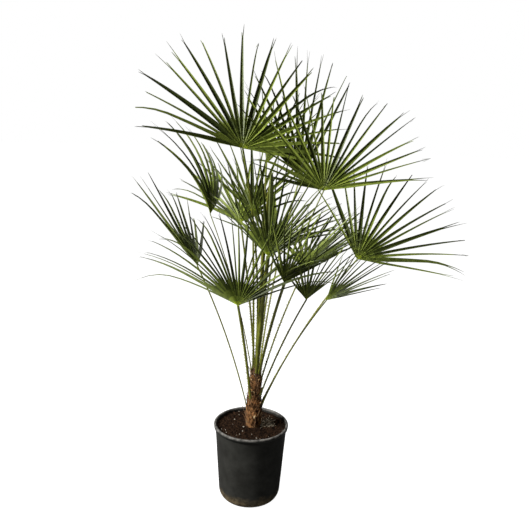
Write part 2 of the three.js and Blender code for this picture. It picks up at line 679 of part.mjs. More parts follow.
let trunk = toManifold(trunkGeometry(0));
for (let row = 0; row < STUB_ROWS; row += 1) {
  for (let place = 0; place < STUBS_ROUND; place += 1) {
    const stub = toManifold(stubGeometry(row, place));
    if (isFree(stub, 'trunk', obstacles)) {
      trunk = trunk.add(stub);
    }
  }
}
plant.add(namedMesh('trunk', fromManifold(largestBody(trunk)), TRUNK_BROWN, ROUGH_ROUGHNESS));

const blades = FRONDS.map((frond, seed) => {
  const frame = bladeFrame(frond);
  const sinus = sinusPoints(frond, frame, seed, 0);
  obstacles.push(obstacle(toManifold(palmanGeometry(frond, frame, seed, 0)), frond.name));
  return { frond, seed, frame, sinus };
});

blades.forEach(({ frond, seed, frame, sinus }) => {
  const grownSinus = sinusPoints(frond, frame, seed, TEST_GROWTH);
  const slightSinus = sinusPoints(frond, frame, seed, OBSTACLE_GROWTH);
  const leaflets = sinus.ribs.map((_, index) => {
    const free = TRIES
      .map(({ cut, nudge }) => leafletStations(frond, frame, seed, index, nudge, cut))
      .find((leaflet) => {
        const grown = leafletGeometry(grownSinus, index, leaflet, TEST_GROWTH);
        return isFree(toManifold(grown), frond.name, obstacles);
      });
    if (!free) {
      throw new Error(`leaflet ${index} of ${frond.name} finds no free place`);
    }
    const placed = leafletGeometry(slightSinus, index, free, OBSTACLE_GROWTH);
    obstacles.push(obstacle(toManifold(placed), frond.name));
    return free;
  });
  const geometry = bladeGeometry(frond, sinus, leaflets);
  plant.add(namedMesh(`frond_${frond.name}`, geometry, LEAF_GREEN, LEAF_ROUGHNESS));
});

export default plant;
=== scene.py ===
"""A potted european fan palm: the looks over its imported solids.

Sizes are millimetres and degrees where no other unit is named, and every mesh is in metres.
The origin is the middle of the pot's flat underside, +Z is up, and the photograph looks
along +Y. Shares run from 0 at a part's foot or hub to 1 at its tip.
"""

from math import cos, pi, radians, sin, sqrt, tan

import bmesh
import bpy
import numpy as np
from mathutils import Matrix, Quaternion, Vector, noise as grain


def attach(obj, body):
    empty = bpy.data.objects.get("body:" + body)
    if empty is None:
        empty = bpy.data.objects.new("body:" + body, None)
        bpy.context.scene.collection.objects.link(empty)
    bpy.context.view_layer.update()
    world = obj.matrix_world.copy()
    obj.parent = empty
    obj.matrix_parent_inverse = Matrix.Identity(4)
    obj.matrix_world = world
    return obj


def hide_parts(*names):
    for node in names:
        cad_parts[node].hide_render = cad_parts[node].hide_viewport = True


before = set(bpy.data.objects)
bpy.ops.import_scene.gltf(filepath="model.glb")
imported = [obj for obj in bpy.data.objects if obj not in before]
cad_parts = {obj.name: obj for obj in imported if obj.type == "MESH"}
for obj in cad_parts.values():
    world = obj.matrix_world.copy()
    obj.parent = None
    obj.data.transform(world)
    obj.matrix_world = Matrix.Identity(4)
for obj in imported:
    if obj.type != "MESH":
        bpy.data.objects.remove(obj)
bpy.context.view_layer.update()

MM = 0.001
UP = Vector((0, 0, 1))

# Camera, placed in metres
CAMERA_PLACE = (0.0281, -2.027, 1.301)
CAMERA_PITCH = 12.82
CAMERA_ROLL = 1.954
CAMERA_FOCUS_PIXELS = 629.4
CAMERA_CLIP = (0.05, 60)
PICTURE_HEIGHT = 531
SENSOR = 36

# Studio, with each lamp's place and size in metres and its power in watts
FLOOR_RADIUS = 30000
FLOOR_HEIGHT = -0.6
FLOOR_SIDES = 64
FLOOR_GREY = (0.22, 0.22, 0.22, 1)
WHITE = (1, 1, 1, 1)
WORLD_STRENGTH = 0.07
LAMP_TARGET = (0, 0, 0.8)
LAMPS = (
    ("key_light", (-3.0, -1.3, 2.7), 1.0, 275),
    ("fill_light", (-0.5, -2.5, 3.4), 1.6, 11),
    ("top_light", (0.3, 0.9, 3.4), 1.6, 60),
)

# Pot, its lip's underside given outwards and upwards from the top of the wall
POT_HEIGHT = 275
POT_RIM_RADIUS = 130
POT_WALL = 3
POT_FLOOR = 4
POT_SIDES = 128
WALL_TOP = 124
LIP_FOOT = 262
LIP_CROWN = 4.5
LIP_STEPS = 7
LIP_UNDERSIDE = ((0, -1), (2, 0), (4.5, 0))
FOOT_RADIUS = 85
FOOT_INSETS = (12, 2)
CORNER_RADIUS = 108.5
CORNER_HEIGHT = 36
CORNER_STEPS = 10
WALL_STEPS = 14
WALL_TOP_DROP = 3
INSIDE_TOP_DROP = 4
WALL_WAVE = 0.5
WALL_WAVE_SCALE = 0.012
WALL_WAVE_FROM = 1
POT_BLACKS = ((0.021, 0.0207, 0.018), (0.035, 0.0346, 0.0306))
LIP_GREY = (0.19, 0.18, 0.165)
EARTH_BROWNS = ((0.06, 0.038, 0.016), (0.26, 0.2, 0.11))
EARTH_COVER = 0.85

# Soil, with its lumps as pairs of scale and strength
SOIL_LEVEL = 259
SOIL_MOUND = 5
SOIL_MOUND_REACH = 95
SOIL_RISE = 2.5
SOIL_GAP = 0.3
SOIL_RINGS = 46
SOIL_SIDES = 120
SOIL_ROUGHNESS = 3.2
SOIL_LUMPS = ((0.05, 0.6), (0.16, 0.5))

# Small things strewn on soil and trunk, in metres and radians
STREWN_TERMS = ("Density", "Size", "Size change", "Middle", "Reach", "Lean", "Seed")
STREWN = {
    "fine_crumbs": (90000.0, 0.0016, 0.6, (0, 0, 0.26), 10.0, 3.2, 11),
    "coarse_crumbs": (9000.0, 0.0034, 0.5, (0, 0, 0.26), 10.0, 3.2, 12),
    "white_chips": (700.0, 0.002, 0.6, (0, 0, 0.26), 10.0, 3.2, 13),
    "litter": (90000.0, 0.014, 0.5, (0.05, 0.015, 0.262), 0.03, 1.4, 14),
    "trunk_fibres": (30000.0, 0.03, 0.5, (0.007, 0, 0.2643), 1.0, 0.35, 21),
}
STREWN_TILTS = ((-1, -1, -3.14), (1, 1, 3.14))
CRUMB_PUSHES = ((-0.3, -0.3, -0.4), (0.3, 0.3, 0.1))
CRUMB_SEED = 5
STRAND_POINTS = {"Start": (0, 0, -0.1), "Middle": (0.16, 0.05, 0.5), "End": (-0.05, 0.08, 1.0)}
STRAND_STEPS = 5
STRAND_SIDES = 3
STRAND_RADIUS = 0.016

# Trunk, with its bark's grain as scale round it, scale up it and strength
TRUNK_FOOT = Vector((7, 0, 264.3))
TRUNK_TOP = Vector((11, 0, 452))
TRUNK_FOOT_RADIUS = 25
TRUNK_TOP_RADIUS = 14.8
TRUNK_FLARE = 2
TRUNK_FLARE_REACH = 0.18
TRUNK_SIDES = 96
TRUNK_RINGS = 90
TRUNK_FURROWS = 2.2
TRUNK_GRAIN = ((5, 0.02, 1), (16, 0.05, 0.6))

# Old leaf sheaths round the trunk, their slack and lean in radians
SHEATHS = 30
SHEATHS_END = 0.2
SHEATH_TURN = 137.5
SHEATH_SLACK = 0.3
SHEATH_LEAN = 0.03
SHEATH_SIZES = (0.8, 1.1)
SHEATH_SEED = 4
SHEATH_LENGTH = 62
SHEATH_HALF_WIDTH = 14
SHEATH_POINT = 1.2
SHEATH_SHOULDER = 2.2
SHEATH_TAPER = 0.6
SHEATH_THICKNESS = 1.6
SHEATH_PROUD = 0.4
SHEATH_OPENING = 2.2
SHEATH_RIPPLE = 0.6
SHEATH_RIPPLES = 3
SHEATH_RAGGED = 3.5
SHEATH_ROWS = 9
SHEATH_COLUMNS = 8

# Stubs of cut leaf stalks, bare wood showing beyond a share of the length, row by row
STUB_ROWS = 4
STUBS_ROUND = 4
STUB_SPAN = (0.14, 0.86)
STUB_LENGTH = 34
STUB_LENGTH_CHANGE = 0.2
STUB_TURN = 20
STUB_LEAN = 24
STUB_HALF_WIDTH = 7
STUB_WIDTHS = ((0, 1.1), (0.3, 0.98), (0.6, 0.8), (0.9, 0.62), (0.97, 0.6), (1, 0.45))
STUB_SINK = 10
STUB_START = 1 / 3
STUB_PROUD = 4
BARE_FROM = (0.45, 0.93, 0.99, 0.99)

# Spear
SPEAR_BASE = (280, 5.2, 452)
SPEAR_TIP = (-58, 50, 1150)
SPEAR_ARCH = 8
SPEAR_STEPS = 40
SPEAR_WIDTHS = [
    (0, 3.4), (0.25, 6.5), (0.5, 7.5), (0.6, 6.5),
    (0.72, 8.5), (0.84, 7), (0.93, 3.6), (1, 0.8),
]

# Petioles and the section of every stalk
PETIOLE_STEPS = 24
PETIOLE_HALF_WIDTHS = (3.5, 3.2)
PETIOLE_FOOT_SWELL = 3.15
PETIOLE_FOOT_SHARE = 0.1
PETIOLE_FOOT_POWER = 1.5
PETIOLE_SINK = 5
GIRTH_REACH = 0.25
ARCH_STEPS = 200
FOOT_SHADE_TO = 0.06
NECK_SHADE_FROM = 0.93
STALK_SIDES = 12
STALK_FLATNESS = 0.72
STALK_CHANNEL = 0.16
STALK_RIM = 0.55
NEARLY_LEVEL = 0.01

# Thorns on the petioles
ARMED_SHARE = 0.72
THORN_SPACING = 11
THORN_SHIFT = 4
THORN_LENGTH = 8
THORN_SIZES = (0.55, 1.15)
THORN_HALF_WIDTH = 1.1
THORN_POINT = 0.15
THORN_SIDES = 4
THORN_INSET = 0.9
THORN_FORWARD = 0.7
THORN_SEED = 3

# Fan blades: the part near the hub where the leaflets are joined
PALMAN_SHARE = 0.2
PLEAT_DEPTH = 0.55
RIB_SHARE = 0.3
SPACING_CHANGE = 0.16
SPACING_TURN = 2.3
HUB_INSET = 0.002
HUB_HALF_WIDTH = 1.6
HUB_SHADE_TO = 0.4
LIGHT_SHADE_TO = 0.6
JOINED_OVERLAP = 1.06
JOINED_STEPS = (0.06, 0.2, 0.45, 0.75, 1.0)
SLOPE_TURN = 1
SLOPE_STRETCH = 1.02
SLOPE_STEP = 1

# Fan blades: the free leaflets
LENGTH_CHANGE = 0.035
WIDENING = 0.35
FREE_STEPS = (0.08, 0.18, 0.3, 0.42, 0.54, 0.66, 0.78, 0.89, 1.0)
FREE_WIDTHS = [
    (0, 1), (0.12, 0.88), (0.3, 0.76), (0.5, 0.61), (0.7, 0.43), (0.86, 0.23), (1, 0.04),
]
TWIST = 32
TWIST_PACE = 1.6
TIP_SWAY = 0.04
TIP_BEND_POWER = 1.5
TIP_SHADE_FROM = 0.86
TIP_SHORTENING = 0.2
TIP_STEPS = 4
TIP_HALF_WIDTH = 0.25
FORK_SPAN = (0.72, 0.94)
FORK_MARGIN = 0.02
FORK_OVERLAP = 0.01
FORK_PARTING = 0.5
FORK_HALF_WIDTH = 0.55
FORK_SPREAD = 0.01
DROOPING_SHARE = 0.16
DROOP_FROM = 0.5
DROOP_DEPTH = 0.1

# Fan blades: the shades dealt to leaflets at random, then leaned per blade as painted light and
# shade, lighter in a blade whose lean is above 1 and deeper below 1
SHADE_STEPS = 2.99
PAINTED_LIGHT_AND_SHADE_LEANS = {
    "high_left": 2.4, "upper_right": 1.8, "mid_left": 0.45, "low_front": 0.55, "front": 0.6,
}

# Fan blades: a leaflet, by blade and place, that is still folded and stands upright
UNOPENED = {"front": 12}
UNOPENED_HALF_WIDTH = 9
UNOPENED_WIDTHS = [(0, 0.9), (0.3, 1), (0.6, 0.9), (0.8, 0.62), (0.93, 0.3), (1, 0.05)]
UNOPENED_LIFT = 8
UNOPENED_LENGTH = 0.84

# Each frond: where its petiole leaves the trunk (base) and ends (hub), as azimuth, distance
# from the plant's axis and height; how far the petiole arches, and its girth; where the
# blade's middle points (heading, rise), its bank round that line, its reach, its spread to
# the left and right, the number of its leaflets, how far they are cupped, folded up at the
# sides, curled back and bent down, and how much shorter the outer ones are, or longer where
# that is below 0.
FROND_TERMS = (
    "name", "base", "hub", "arch", "girth", "heading", "rise", "bank", "reach",
    "left", "right", "leaflets", "cup", "fold", "curl", "droop", "shorten",
)
FROND_TABLE = (
    ("high_left", (160, 5.2, 452), (138, 90, 1216), 38, 1.15, 122, 64, 14,
     444, 78, 118, 22, 10, 5, 0, 0.05, 0.25),
    ("high_back", (40, 5.2, 452), (87, 220, 1160), 30, 1, 56, 42, -14,
     345, 30, 34, 8, 9, 10, 0, 0.03, 0.2),
    ("high_right", (35, 12.2, 452), (38, 160, 1125), 20, 1, 100, 72, 6,
     450, 46, 34, 12, 7, 6, 0, 0.04, 0.3),
    ("upper_right", (0, 12.2, 452), (6, 202, 1092), 20, 1.15, 24, 56, -60,
     390, 116, 54, 22, 10, 8, 0.04, 0.04, 0.38),
    ("upper_left", (178, 12.2, 452), (173, 168, 1004), 15, 0.85, 176, 82, 18,
     345, 30, 60, 8, 6, 4, 0.5, 0.06, 0.2),
    ("mid_left", (182, 22, 312), (186, 203, 837), 15, 1.4, 183, 50, 9,
     362, 14, 76, 10, 5, 4, 0, 0.02, 0.2),
    ("low_front", (222, 19.5, 360), (248, 162, 744), 8, 1.4, 232, 64, -16,
     392, 76, 70, 25, 10, 2, 0.05, 0.13, -0.1),
    ("front", (275, 12.2, 452), (281, 143, 902), 8, 2, 262, 68, 8,
     352, 66, 64, 24, 14, 7, 0, 0.02, 0.25),
    ("front_right", (315, 12.2, 452), (291, 218, 836), 10, 1.2, 322, 46, 25,
     340, 38, 56, 16, 6, 2, 0, 0.03, 0.35),
    ("low_right", (322, 18.7, 375), (317, 206, 768), 10, 1.2, 312, 50, 20,
     290, 26, 58, 14, 6, 2, 0, 0.03, 0.4),
    ("side_right", (348, 20.9, 335), (347, 228, 743), 15, 1.25, 9, 34, -13,
     265, 48, 46, 12, 5, 2, 0, 0.03, 0.2),
    ("mid_right", (12, 20.3, 345), (7, 330, 864), 20, 1.25, 18, 40, -48,
     392, 78, 62, 17, 8, 4, 0.02, 0.05, 0.15),
    ("upper_back", (142, 12.2, 452), (100, 178, 990), 22, 1, 96, 50, 0,
     350, 54, 54, 13, 10, 8, 0.03, 0.04, 0.25),
    ("back_left", (107, 12.2, 452), (110, 215, 950), 18, 1, 104, 34, 4,
     345, 66, 80, 15, 10, 6, 0.05, 0.06, 0.2),
    ("back", (71, 12.2, 452), (78, 260, 860), 20, 1, 80, 26, -4,
     360, 80, 80, 17, 10, 6, 0.05, 0.06, 0.2),
    ("back_right", (62, 18.3, 385), (46, 235, 800), 18, 1, 46, 34, 8,
     330, 78, 78, 15, 10, 6, 0.04, 0.06, 0.2),
)
FRONDS = [dict(zip(FROND_TERMS, row)) for row in FROND_TABLE]
AXIS_FOOT = Vector((TRUNK_TOP.x, TRUNK_TOP.y, 0))

# Places in the lists of finishes: leaves from hub to tip, and stalks from foot to hub
HUB_SHADE = 0
LIGHT_SHADE = 1
TIP_SHADE = 4
UNOPENED_SHADE = 5
FOOT_SHADE = 0
STALK_SHADE = 1
NECK_SHADE = 2

# Leaf colours: name, light shade, dark shade and roughness
LEAF_COLORS = (
    ("leaf_hub", (0.3, 0.37, 0.03), (0.17, 0.22, 0.016), 0.45),
    ("leaf_light", (0.205, 0.25, 0.04), (0.12, 0.16, 0.024), 0.45),
    ("leaf_middle", (0.108, 0.138, 0.022), (0.062, 0.082, 0.012), 0.45),
    ("leaf_deep", (0.052, 0.068, 0.011), (0.026, 0.036, 0.006), 0.46),
    ("leaf_tip", (0.08, 0.08, 0.036), (0.03, 0.032, 0.016), 0.6),
    ("leaf_unopened", (0.215, 0.25, 0.08), (0.125, 0.15, 0.042), 0.5),
)

# Steady pseudo-random values, one series for each purpose
NOISE_STEPS = (12.9898, 78.233, 37.719)
NOISE_SPREAD = 43758.5453
NOISE_FOR = {
    "length": 1, "sway": 2, "rise": 3, "twist": 6, "fork": 7, "droop": 8, "shade": 9,
    "left tip": 10, "right tip": 11, "width": 12, "stub turn": 7, "stub length": 8, "ragged": 21,
}

SOCKET_KINDS = {float: "Float", int: "Int", tuple: "Vector"}


def noise(first, second, purpose):
    """A steady pseudo-random value from 0 to 1 for two whole numbers and a purpose."""
    phase = first * NOISE_STEPS[0] + second * NOISE_STEPS[1] + NOISE_FOR[purpose] * NOISE_STEPS[2]
    return sin(phase) * NOISE_SPREAD % 1


def swing(first, second, purpose):
    return 2 * noise(first, second, purpose) - 1


def mix(low, high, share):
    return low + (high - low) * share


def read_off(pairs, share):
    """The value that a list of (share, value) pairs gives at a share."""
    return float(np.interp(share, [pair[0] for pair in pairs], [pair[1] for pair in pairs]))


def polar(azimuth, radius, height):
    angle = radians(azimuth)
    return Vector((radius * cos(angle), radius * sin(angle), height))


def new_object(name, data):
    made = bpy.data.objects.new(name, data)
    bpy.context.scene.collection.objects.link(made)
    return made


# Camera, before the pieces
def set_camera():
    """Looks along +Y, tipped down and rolled round the line of sight."""
    data = bpy.data.cameras.new("photo_camera")
    data.sensor_width = data.sensor_height = SENSOR
    data.lens = CAMERA_FOCUS_PIXELS * SENSOR / PICTURE_HEIGHT
    data.clip_start, data.clip_end = CAMERA_CLIP
    camera = new_object("photo_camera", data)
    camera.location = CAMERA_PLACE
    camera.rotation_mode = "QUATERNION"
    tipped = Quaternion((1, 0, 0), radians(90 - CAMERA_PITCH))
    camera.rotation_quaternion = tipped @ Quaternion((0, 0, 1), radians(CAMERA_ROLL))
    bpy.context.scene.camera = camera


# Node trees
def feed(tree, node, inputs):
    """Links each named input of a node, or gives it a value."""
    for term, value in inputs.items():
        if isinstance(value, bpy.types.NodeSocket):
            tree.links.new(value, node.inputs[term])
        else:
            node.inputs[term].default_value = value


def add_node(tree, kind, inputs=None, **settings):
    node = tree.nodes.new(kind)
    for term, value in settings.items():
        setattr(node, term, value)
    feed(tree, node, inputs or {})
    return node


def out(tree, kind, inputs=None, output=0, **settings):
    """An output of a new node, the first one unless another is named."""
    return add_node(tree, kind, inputs, **settings).outputs[output]


def new_tree(name, inputs, output, build, kind="Geometry"):
    """A node group with inputs, each given by its value or its kind, and one output, from build."""
    family = "Geometry" if kind == "Geometry" else "Shader"
    tree = bpy.data.node_groups.new(name, f"{family}NodeTree")
    for term, value in inputs.items():
        socket_kind = SOCKET_KINDS.get(type(value), value)
        socket = tree.interface.new_socket(
            term, in_out="INPUT", socket_type=f"NodeSocket{socket_kind}",
        )
        if socket_kind != value:
            socket.default_value = value
    tree.interface.new_socket(output, in_out="OUTPUT", socket_type=f"NodeSocket{kind}")
    made = build(tree, tree.nodes.new("NodeGroupInput").outputs)
    tree.links.new(made, tree.nodes.new("NodeGroupOutput").inputs[output])
    return tree


def math_node(tree, operation, *values):
    return out(tree, "ShaderNodeMath", dict(enumerate(values)), operation=operation)


def vector_math(tree, operation, *values):
    return out(tree, "ShaderNodeVectorMath", dict(enumerate(values)), operation=operation)


def scaled(tree, vector, scale):
    return out(tree, "ShaderNodeVectorMath", {0: vector, "Scale": scale}, operation="SCALE")


def combined(tree, **parts):
    return out(tree, "ShaderNodeCombineXYZ", parts)


def ramp(tree, value, start, end):
    return out(tree, "ShaderNodeMapRange", {"Value": value, "From Min": start, "From Max": end})


def compared(tree, first, operation, second):
    terms = {0: first, 1: second}
    return out(tree, "FunctionNodeCompare", terms, data_type="FLOAT", operation=operation)


def ranged_random(tree, low, high, seed):
    """A random value or vector between two bounds, steady for its seed."""
    is_vector = isinstance(low, tuple)
    first = 0 if is_vector else 2
    bounds = {first: low, first + 1: high, "Seed": seed}
    data_type = "FLOAT_VECTOR" if is_vector else "FLOAT"
    return out(tree, "FunctionNodeRandomValue", bounds, first // 2, data_type=data_type)


def point_value(tree, term, data_type="FLOAT"):
    return out(tree, "GeometryNodeInputNamedAttribute", {"Name": term}, data_type=data_type)


def stored(tree, geometry, term, value, data_type="FLOAT"):
    """The geometry with a value kept at each of its points."""
    return out(tree, "GeometryNodeStoreNamedAttribute", {
        "Geometry": geometry, "Name": term, "Value": value,
    }, data_type=data_type, domain="POINT")


def moved(tree, geometry, **way):
    """The geometry with its points set at a Position or shifted by an Offset."""
    return out(tree, "GeometryNodeSetPosition", {"Geometry": geometry, **way})


def grow(source, tree, values, name):
    """Runs a geometry tree on an object and keeps the result as a plain mesh object."""
    modifier = source.modifiers.new("grow", "NODES")
    modifier.node_group = tree
    for item in tree.interface.items_tree:
        if item.name in values:
            modifier[item.identifier] = values[item.name]
    graph = bpy.context.evaluated_depsgraph_get()
    mesh = bpy.data.meshes.new_from_object(source.evaluated_get(graph), depsgraph=graph)
    source.modifiers.remove(modifier)
    mesh.name = name
    return new_object(name, mesh)


# Effects that several finishes share
def mottled(tree, given):
    """A soft patchy mask from 0 to 1."""
    patches = out(tree, "ShaderNodeTexNoise", {
        "Vector": given["Vector"], "Scale": given["Scale"], "Detail": 4.0, "Roughness": 0.6,
    })
    return ramp(tree, patches, given["Low"], given["High"])


def bumpy(tree, given):
    """A bumpy normal from noise stretched along one way."""
    bumps = out(tree, "ShaderNodeTexNoise", {
        "Vector": vector_math(tree, "MULTIPLY", given["Vector"], given["Stretch"]),
        "Scale": given["Scale"], "Detail": 5.0, "Roughness": 0.65,
    })
    return out(tree, "ShaderNodeBump", {
        "Height": bumps, "Strength": given["Strength"], "Distance": given["Depth"],
    })


def leveled(tree, given):
    """A mask that runs from 0 to 1 between two heights, its edge broken up."""
    height = out(tree, "ShaderNodeSeparateXYZ", {0: given["Vector"]}, "Z")
    patches = out(tree, "ShaderNodeTexNoise", {
        "Vector": given["Vector"], "Scale": given["Scale"], "Detail": 5.0,
    })
    centered = math_node(tree, "SUBTRACT", patches, 0.5)
    ragged = math_node(tree, "MULTIPLY_ADD", centered, given["Break up"], height)
    return ramp(tree, ragged, given["Start"], given["End"])


MOTTLE = new_tree("mottle", {
    "Vector": "Vector", "Scale": 60.0, "Low": 0.35, "High": 0.65,
}, "Mask", mottled, "Float")
RELIEF = new_tree("relief", {
    "Vector": "Vector", "Scale": 300.0, "Stretch": (1, 1, 1), "Strength": 0.4, "Depth": 0.001,
}, "Normal", bumpy, "Vector")
LEVEL = new_tree("level", {
    "Vector": "Vector", "Start": 0.0, "End": 1.0, "Break up": 0.01, "Scale": 40.0,
}, "Mask", leveled, "Float")


def effect(tree, group, **values):
    """Places a shared effect, reading the object's own coordinates."""
    place = out(tree, "ShaderNodeTexCoord", None, "Object")
    terms = {term.replace("_", " ").capitalize(): value for term, value in values.items()}
    return out(tree, "ShaderNodeGroup", {"Vector": place, **terms}, node_tree=group)


def blend(tree, mask, first, second):
    """Two colours blended by a mask; 6, 7 and 2 are a mix node's own colour sockets."""
    first, second = ((*color, 1) if isinstance(color, tuple) else color for color in (first, second))
    return out(tree, "ShaderNodeMix", {0: mask, 6: first, 7: second}, 2, data_type="RGBA")


# Finishes
def new_finish(name, roughness, specular):
    finish = bpy.data.materials.new(name)
    finish.use_nodes = True
    tree = finish.node_tree
    surface = tree.nodes["Principled BSDF"]
    feed(tree, surface, {"Roughness": roughness, "Specular IOR Level": specular})
    return finish, tree, surface


def paint(tree, surface, color, **relief):
    feed(tree, surface, {"Base Color": color, "Normal": effect(tree, RELIEF, **relief)})


def grown_finish(name, light, dark, roughness, scale=90.0, relief=(500.0, 0.25, 0.0006),
                 stretch=(1, 1, 1), specular=0.5):
    """A plant surface: two near shades in soft patches, over a relief of scale, strength, depth."""
    finish, tree, surface = new_finish(name, roughness, specular)
    color = blend(tree, effect(tree, MOTTLE, scale=scale), dark, light)
    bumps, strength, depth = relief
    paint(tree, surface, color, scale=bumps, strength=strength, depth=depth, stretch=stretch)
    return finish


def soil_finish(name, light, dark):
    finish, tree, surface = new_finish(name, roughness=0.95, specular=0.08)
    patches = effect(tree, MOTTLE, scale=130.0, low=0.35, high=0.7)
    color = blend(tree, patches, dark, light)
    paint(tree, surface, color, scale=420.0, strength=0.8, depth=0.002)
    return finish


def pot_finish():
    """Black moulded plastic: a scuffed grey lip, faint dust, and an earthy foot."""
    finish, tree, surface = new_finish("pot_plastic", roughness=0.5, specular=0.03)
    scuffs = effect(tree, MOTTLE, scale=22.0, low=0.38, high=0.72)
    body = blend(tree, scuffs, *POT_BLACKS)
    lip = effect(tree, LEVEL, start=0.2665, end=0.2725, break_up=0.004, scale=90.0)
    worn = effect(tree, MOTTLE, scale=55.0, low=0.3, high=0.62)
    with_lip = blend(tree, math_node(tree, "MULTIPLY", lip, worn), body, LIP_GREY)
    foot = effect(tree, LEVEL, start=0.046, end=0.006, break_up=0.05, scale=30.0)
    earth = blend(tree, effect(tree, MOTTLE, scale=75.0), *EARTH_BROWNS)
    foot_mask = math_node(tree, "MULTIPLY", foot, EARTH_COVER)
    shine = out(tree, "ShaderNodeMapRange", {"Value": scuffs, "To Min": 0.42, "To Max": 0.62})
    feed(tree, surface, {"Roughness": shine})
    paint(tree, surface, blend(tree, foot_mask, with_lip, earth),
          scale=120.0, strength=0.16, depth=0.0012, stretch=(1, 1, 2.5))
    return finish


LEAF_FINISHES = [grown_finish(*row, specular=0.2) for row in LEAF_COLORS]
STALK_FINISHES = [
    grown_finish("stalk_foot", (0.17, 0.1, 0.05), (0.06, 0.035, 0.02), 0.7,
                 stretch=(3, 3, 0.3), specular=0.25),
    grown_finish("stalk_green", (0.19, 0.2, 0.022), (0.1, 0.11, 0.012), 0.45,
                 scale=40.0, stretch=(2, 2, 0.25), specular=0.3),
    grown_finish("stalk_neck", (0.2, 0.23, 0.03), (0.12, 0.145, 0.018), 0.42, specular=0.3),
]
THORN_FINISH = grown_finish("thorn", (0.33, 0.31, 0.13), (0.2, 0.16, 0.07), 0.5)
BARK_FINISH = grown_finish("bark", (0.28, 0.135, 0.05), (0.02, 0.007, 0.003), 0.9, scale=70.0,
                           relief=(160.0, 0.9, 0.004), stretch=(2.2, 2.2, 0.35), specular=0.2)
SHEATH_FINISH = grown_finish("leaf_sheath", (0.6, 0.3, 0.115), (0.05, 0.016, 0.006), 0.85,
                             scale=60.0, relief=(200.0, 0.8, 0.003), stretch=(2.5, 2.5, 0.25),
                             specular=0.2)
FIBRE_FINISH = grown_finish("bark_fibre", (0.42, 0.24, 0.11), (0.12, 0.05, 0.022), 0.8)
STUB_FINISHES = [
    grown_finish("stub_bark", (0.46, 0.28, 0.12), (0.12, 0.055, 0.022), 0.85,
                 relief=(220.0, 0.7, 0.002), stretch=(2, 2, 0.3), specular=0.2),
    grown_finish("stub_cut", (0.78, 0.58, 0.33), (0.4, 0.24, 0.11), 0.85, scale=160.0,
                 specular=0.2),
]
SOIL_FINISH = soil_finish("potting_soil", (0.017, 0.0082, 0.004), (0.0038, 0.0016, 0.0008))
CRUMB_FINISH = soil_finish("soil_crumb", (0.047, 0.024, 0.012), (0.004, 0.002, 0.0012))
CHIP_FINISH = soil_finish("white_chip", (0.62, 0.58, 0.5), (0.34, 0.29, 0.22))
LITTER_FINISH = grown_finish("root_litter", (0.82, 0.72, 0.54), (0.34, 0.26, 0.16), 0.9)
POT_FINISH = pot_finish()


# Chains of points that the sweeping trees follow
def chain_object(name, chains):
    """Point chains as edges; each point is (place, across, half width, shade), in mm."""
    points = [point for chain in chains for point in chain]
    ends = set(np.cumsum([len(chain) for chain in chains]))
    edges = [(step - 1, step) for step in range(1, len(points)) if step not in ends]
    mesh = bpy.data.meshes.new(name)
    mesh.from_pydata([tuple(point[0] * MM) for point in points], edges, [])
    columns = (
        ("across", "FLOAT_VECTOR", "vector", [value for point in points for value in point[1]]),
        ("half_width", "FLOAT", "value", [point[2] * MM for point in points]),
        ("shade", "FLOAT", "value", [float(point[3]) for point in points]),
    )
    for term, data_type, field, values in columns:
        mesh.attributes.new(term, data_type, "POINT").data.foreach_set(field, values)
    return new_object(name, mesh)


def grown_along(chains, *wanted):
    """Grows a piece along the chains for each wanted name, tree and values."""
    source = chain_object("chains", chains)
    pieces = [grow(source, tree, values, name) for name, tree, values in wanted]
    bpy.data.objects.remove(source)
    return pieces


def followed_curve(tree, given):
    """The chains as curves that carry their own crosswise direction."""
    return out(tree, "GeometryNodeSetCurveNormal", {
        "Curve": out(tree, "GeometryNodeMeshToCurve", {"Mesh": given["Chains"]}),
        "Normal": point_value(tree, "across", "FLOAT_VECTOR"),
    }, mode="FREE")


def finish_inputs(finishes):
    return {f"Finish {index}": "Material" for index in range(len(finishes))}


def finish_values(finishes):
    return {f"Finish {index}": finish for index, finish in enumerate(finishes)}


def section_through(tree, places):
    """A closed section whose points are given as (across, down) pairs of sockets or numbers."""
    choice = add_node(tree, "GeometryNodeIndexSwitch", data_type="VECTOR")
    while len(choice.index_switch_items) < len(places):
        choice.index_switch_items.new()
    feed(tree, choice, {"Index": out(tree, "GeometryNodeInputIndex")})
    for index, (across, down) in enumerate(places):
        feed(tree, choice, {index + 1: combined(tree, X=across, Y=down)})
    ring = out(tree, "GeometryNodeCurvePrimitiveCircle", {"Resolution": len(places)})
    return moved(tree, ring, Position=choice.outputs["Output"])


def swept(tree, given, section, smooth, finishes):
    """A section swept along the chains, each face in the finish that its points' shade names."""
    mesh = out(tree, "GeometryNodeCurveToMesh", {
        "Curve": followed_curve(tree, given), "Profile Curve": section,
        "Scale": point_value(tree, "half_width"), "Fill Caps": True,
    })
    mesh = out(tree, "GeometryNodeSetShadeSmooth", {"Geometry": mesh, "Shade Smooth": smooth})
    mesh = out(tree, "GeometryNodeRealizeInstances", {"Geometry": mesh})
    shade = math_node(tree, "ROUND", point_value(tree, "shade"))
    for index in range(len(finishes)):
        mesh = out(tree, "GeometryNodeSetMaterial", {
            "Geometry": mesh, "Selection": compared(tree, shade, "EQUAL", float(index)),
            "Material": given[f"Finish {index}"],
        })
    return mesh


def swept_leaflets(tree, given):
    """A V with a thick rib swept along each leaflet."""
    half_rib = math_node(tree, "MULTIPLY", given["Rib thickness"], 0.5)
    margin = math_node(tree, "MULTIPLY", given["Fold depth"], -1.0)
    rib_top = math_node(tree, "SUBTRACT", given["Fold depth"], half_rib)
    rib_under = math_node(tree, "ADD", given["Fold depth"], half_rib)
    places = [(-1.0, margin), (0.0, rib_top), (1.0, margin), (0.0, rib_under)]
    return swept(tree, given, section_through(tree, places), False, LEAF_FINISHES)


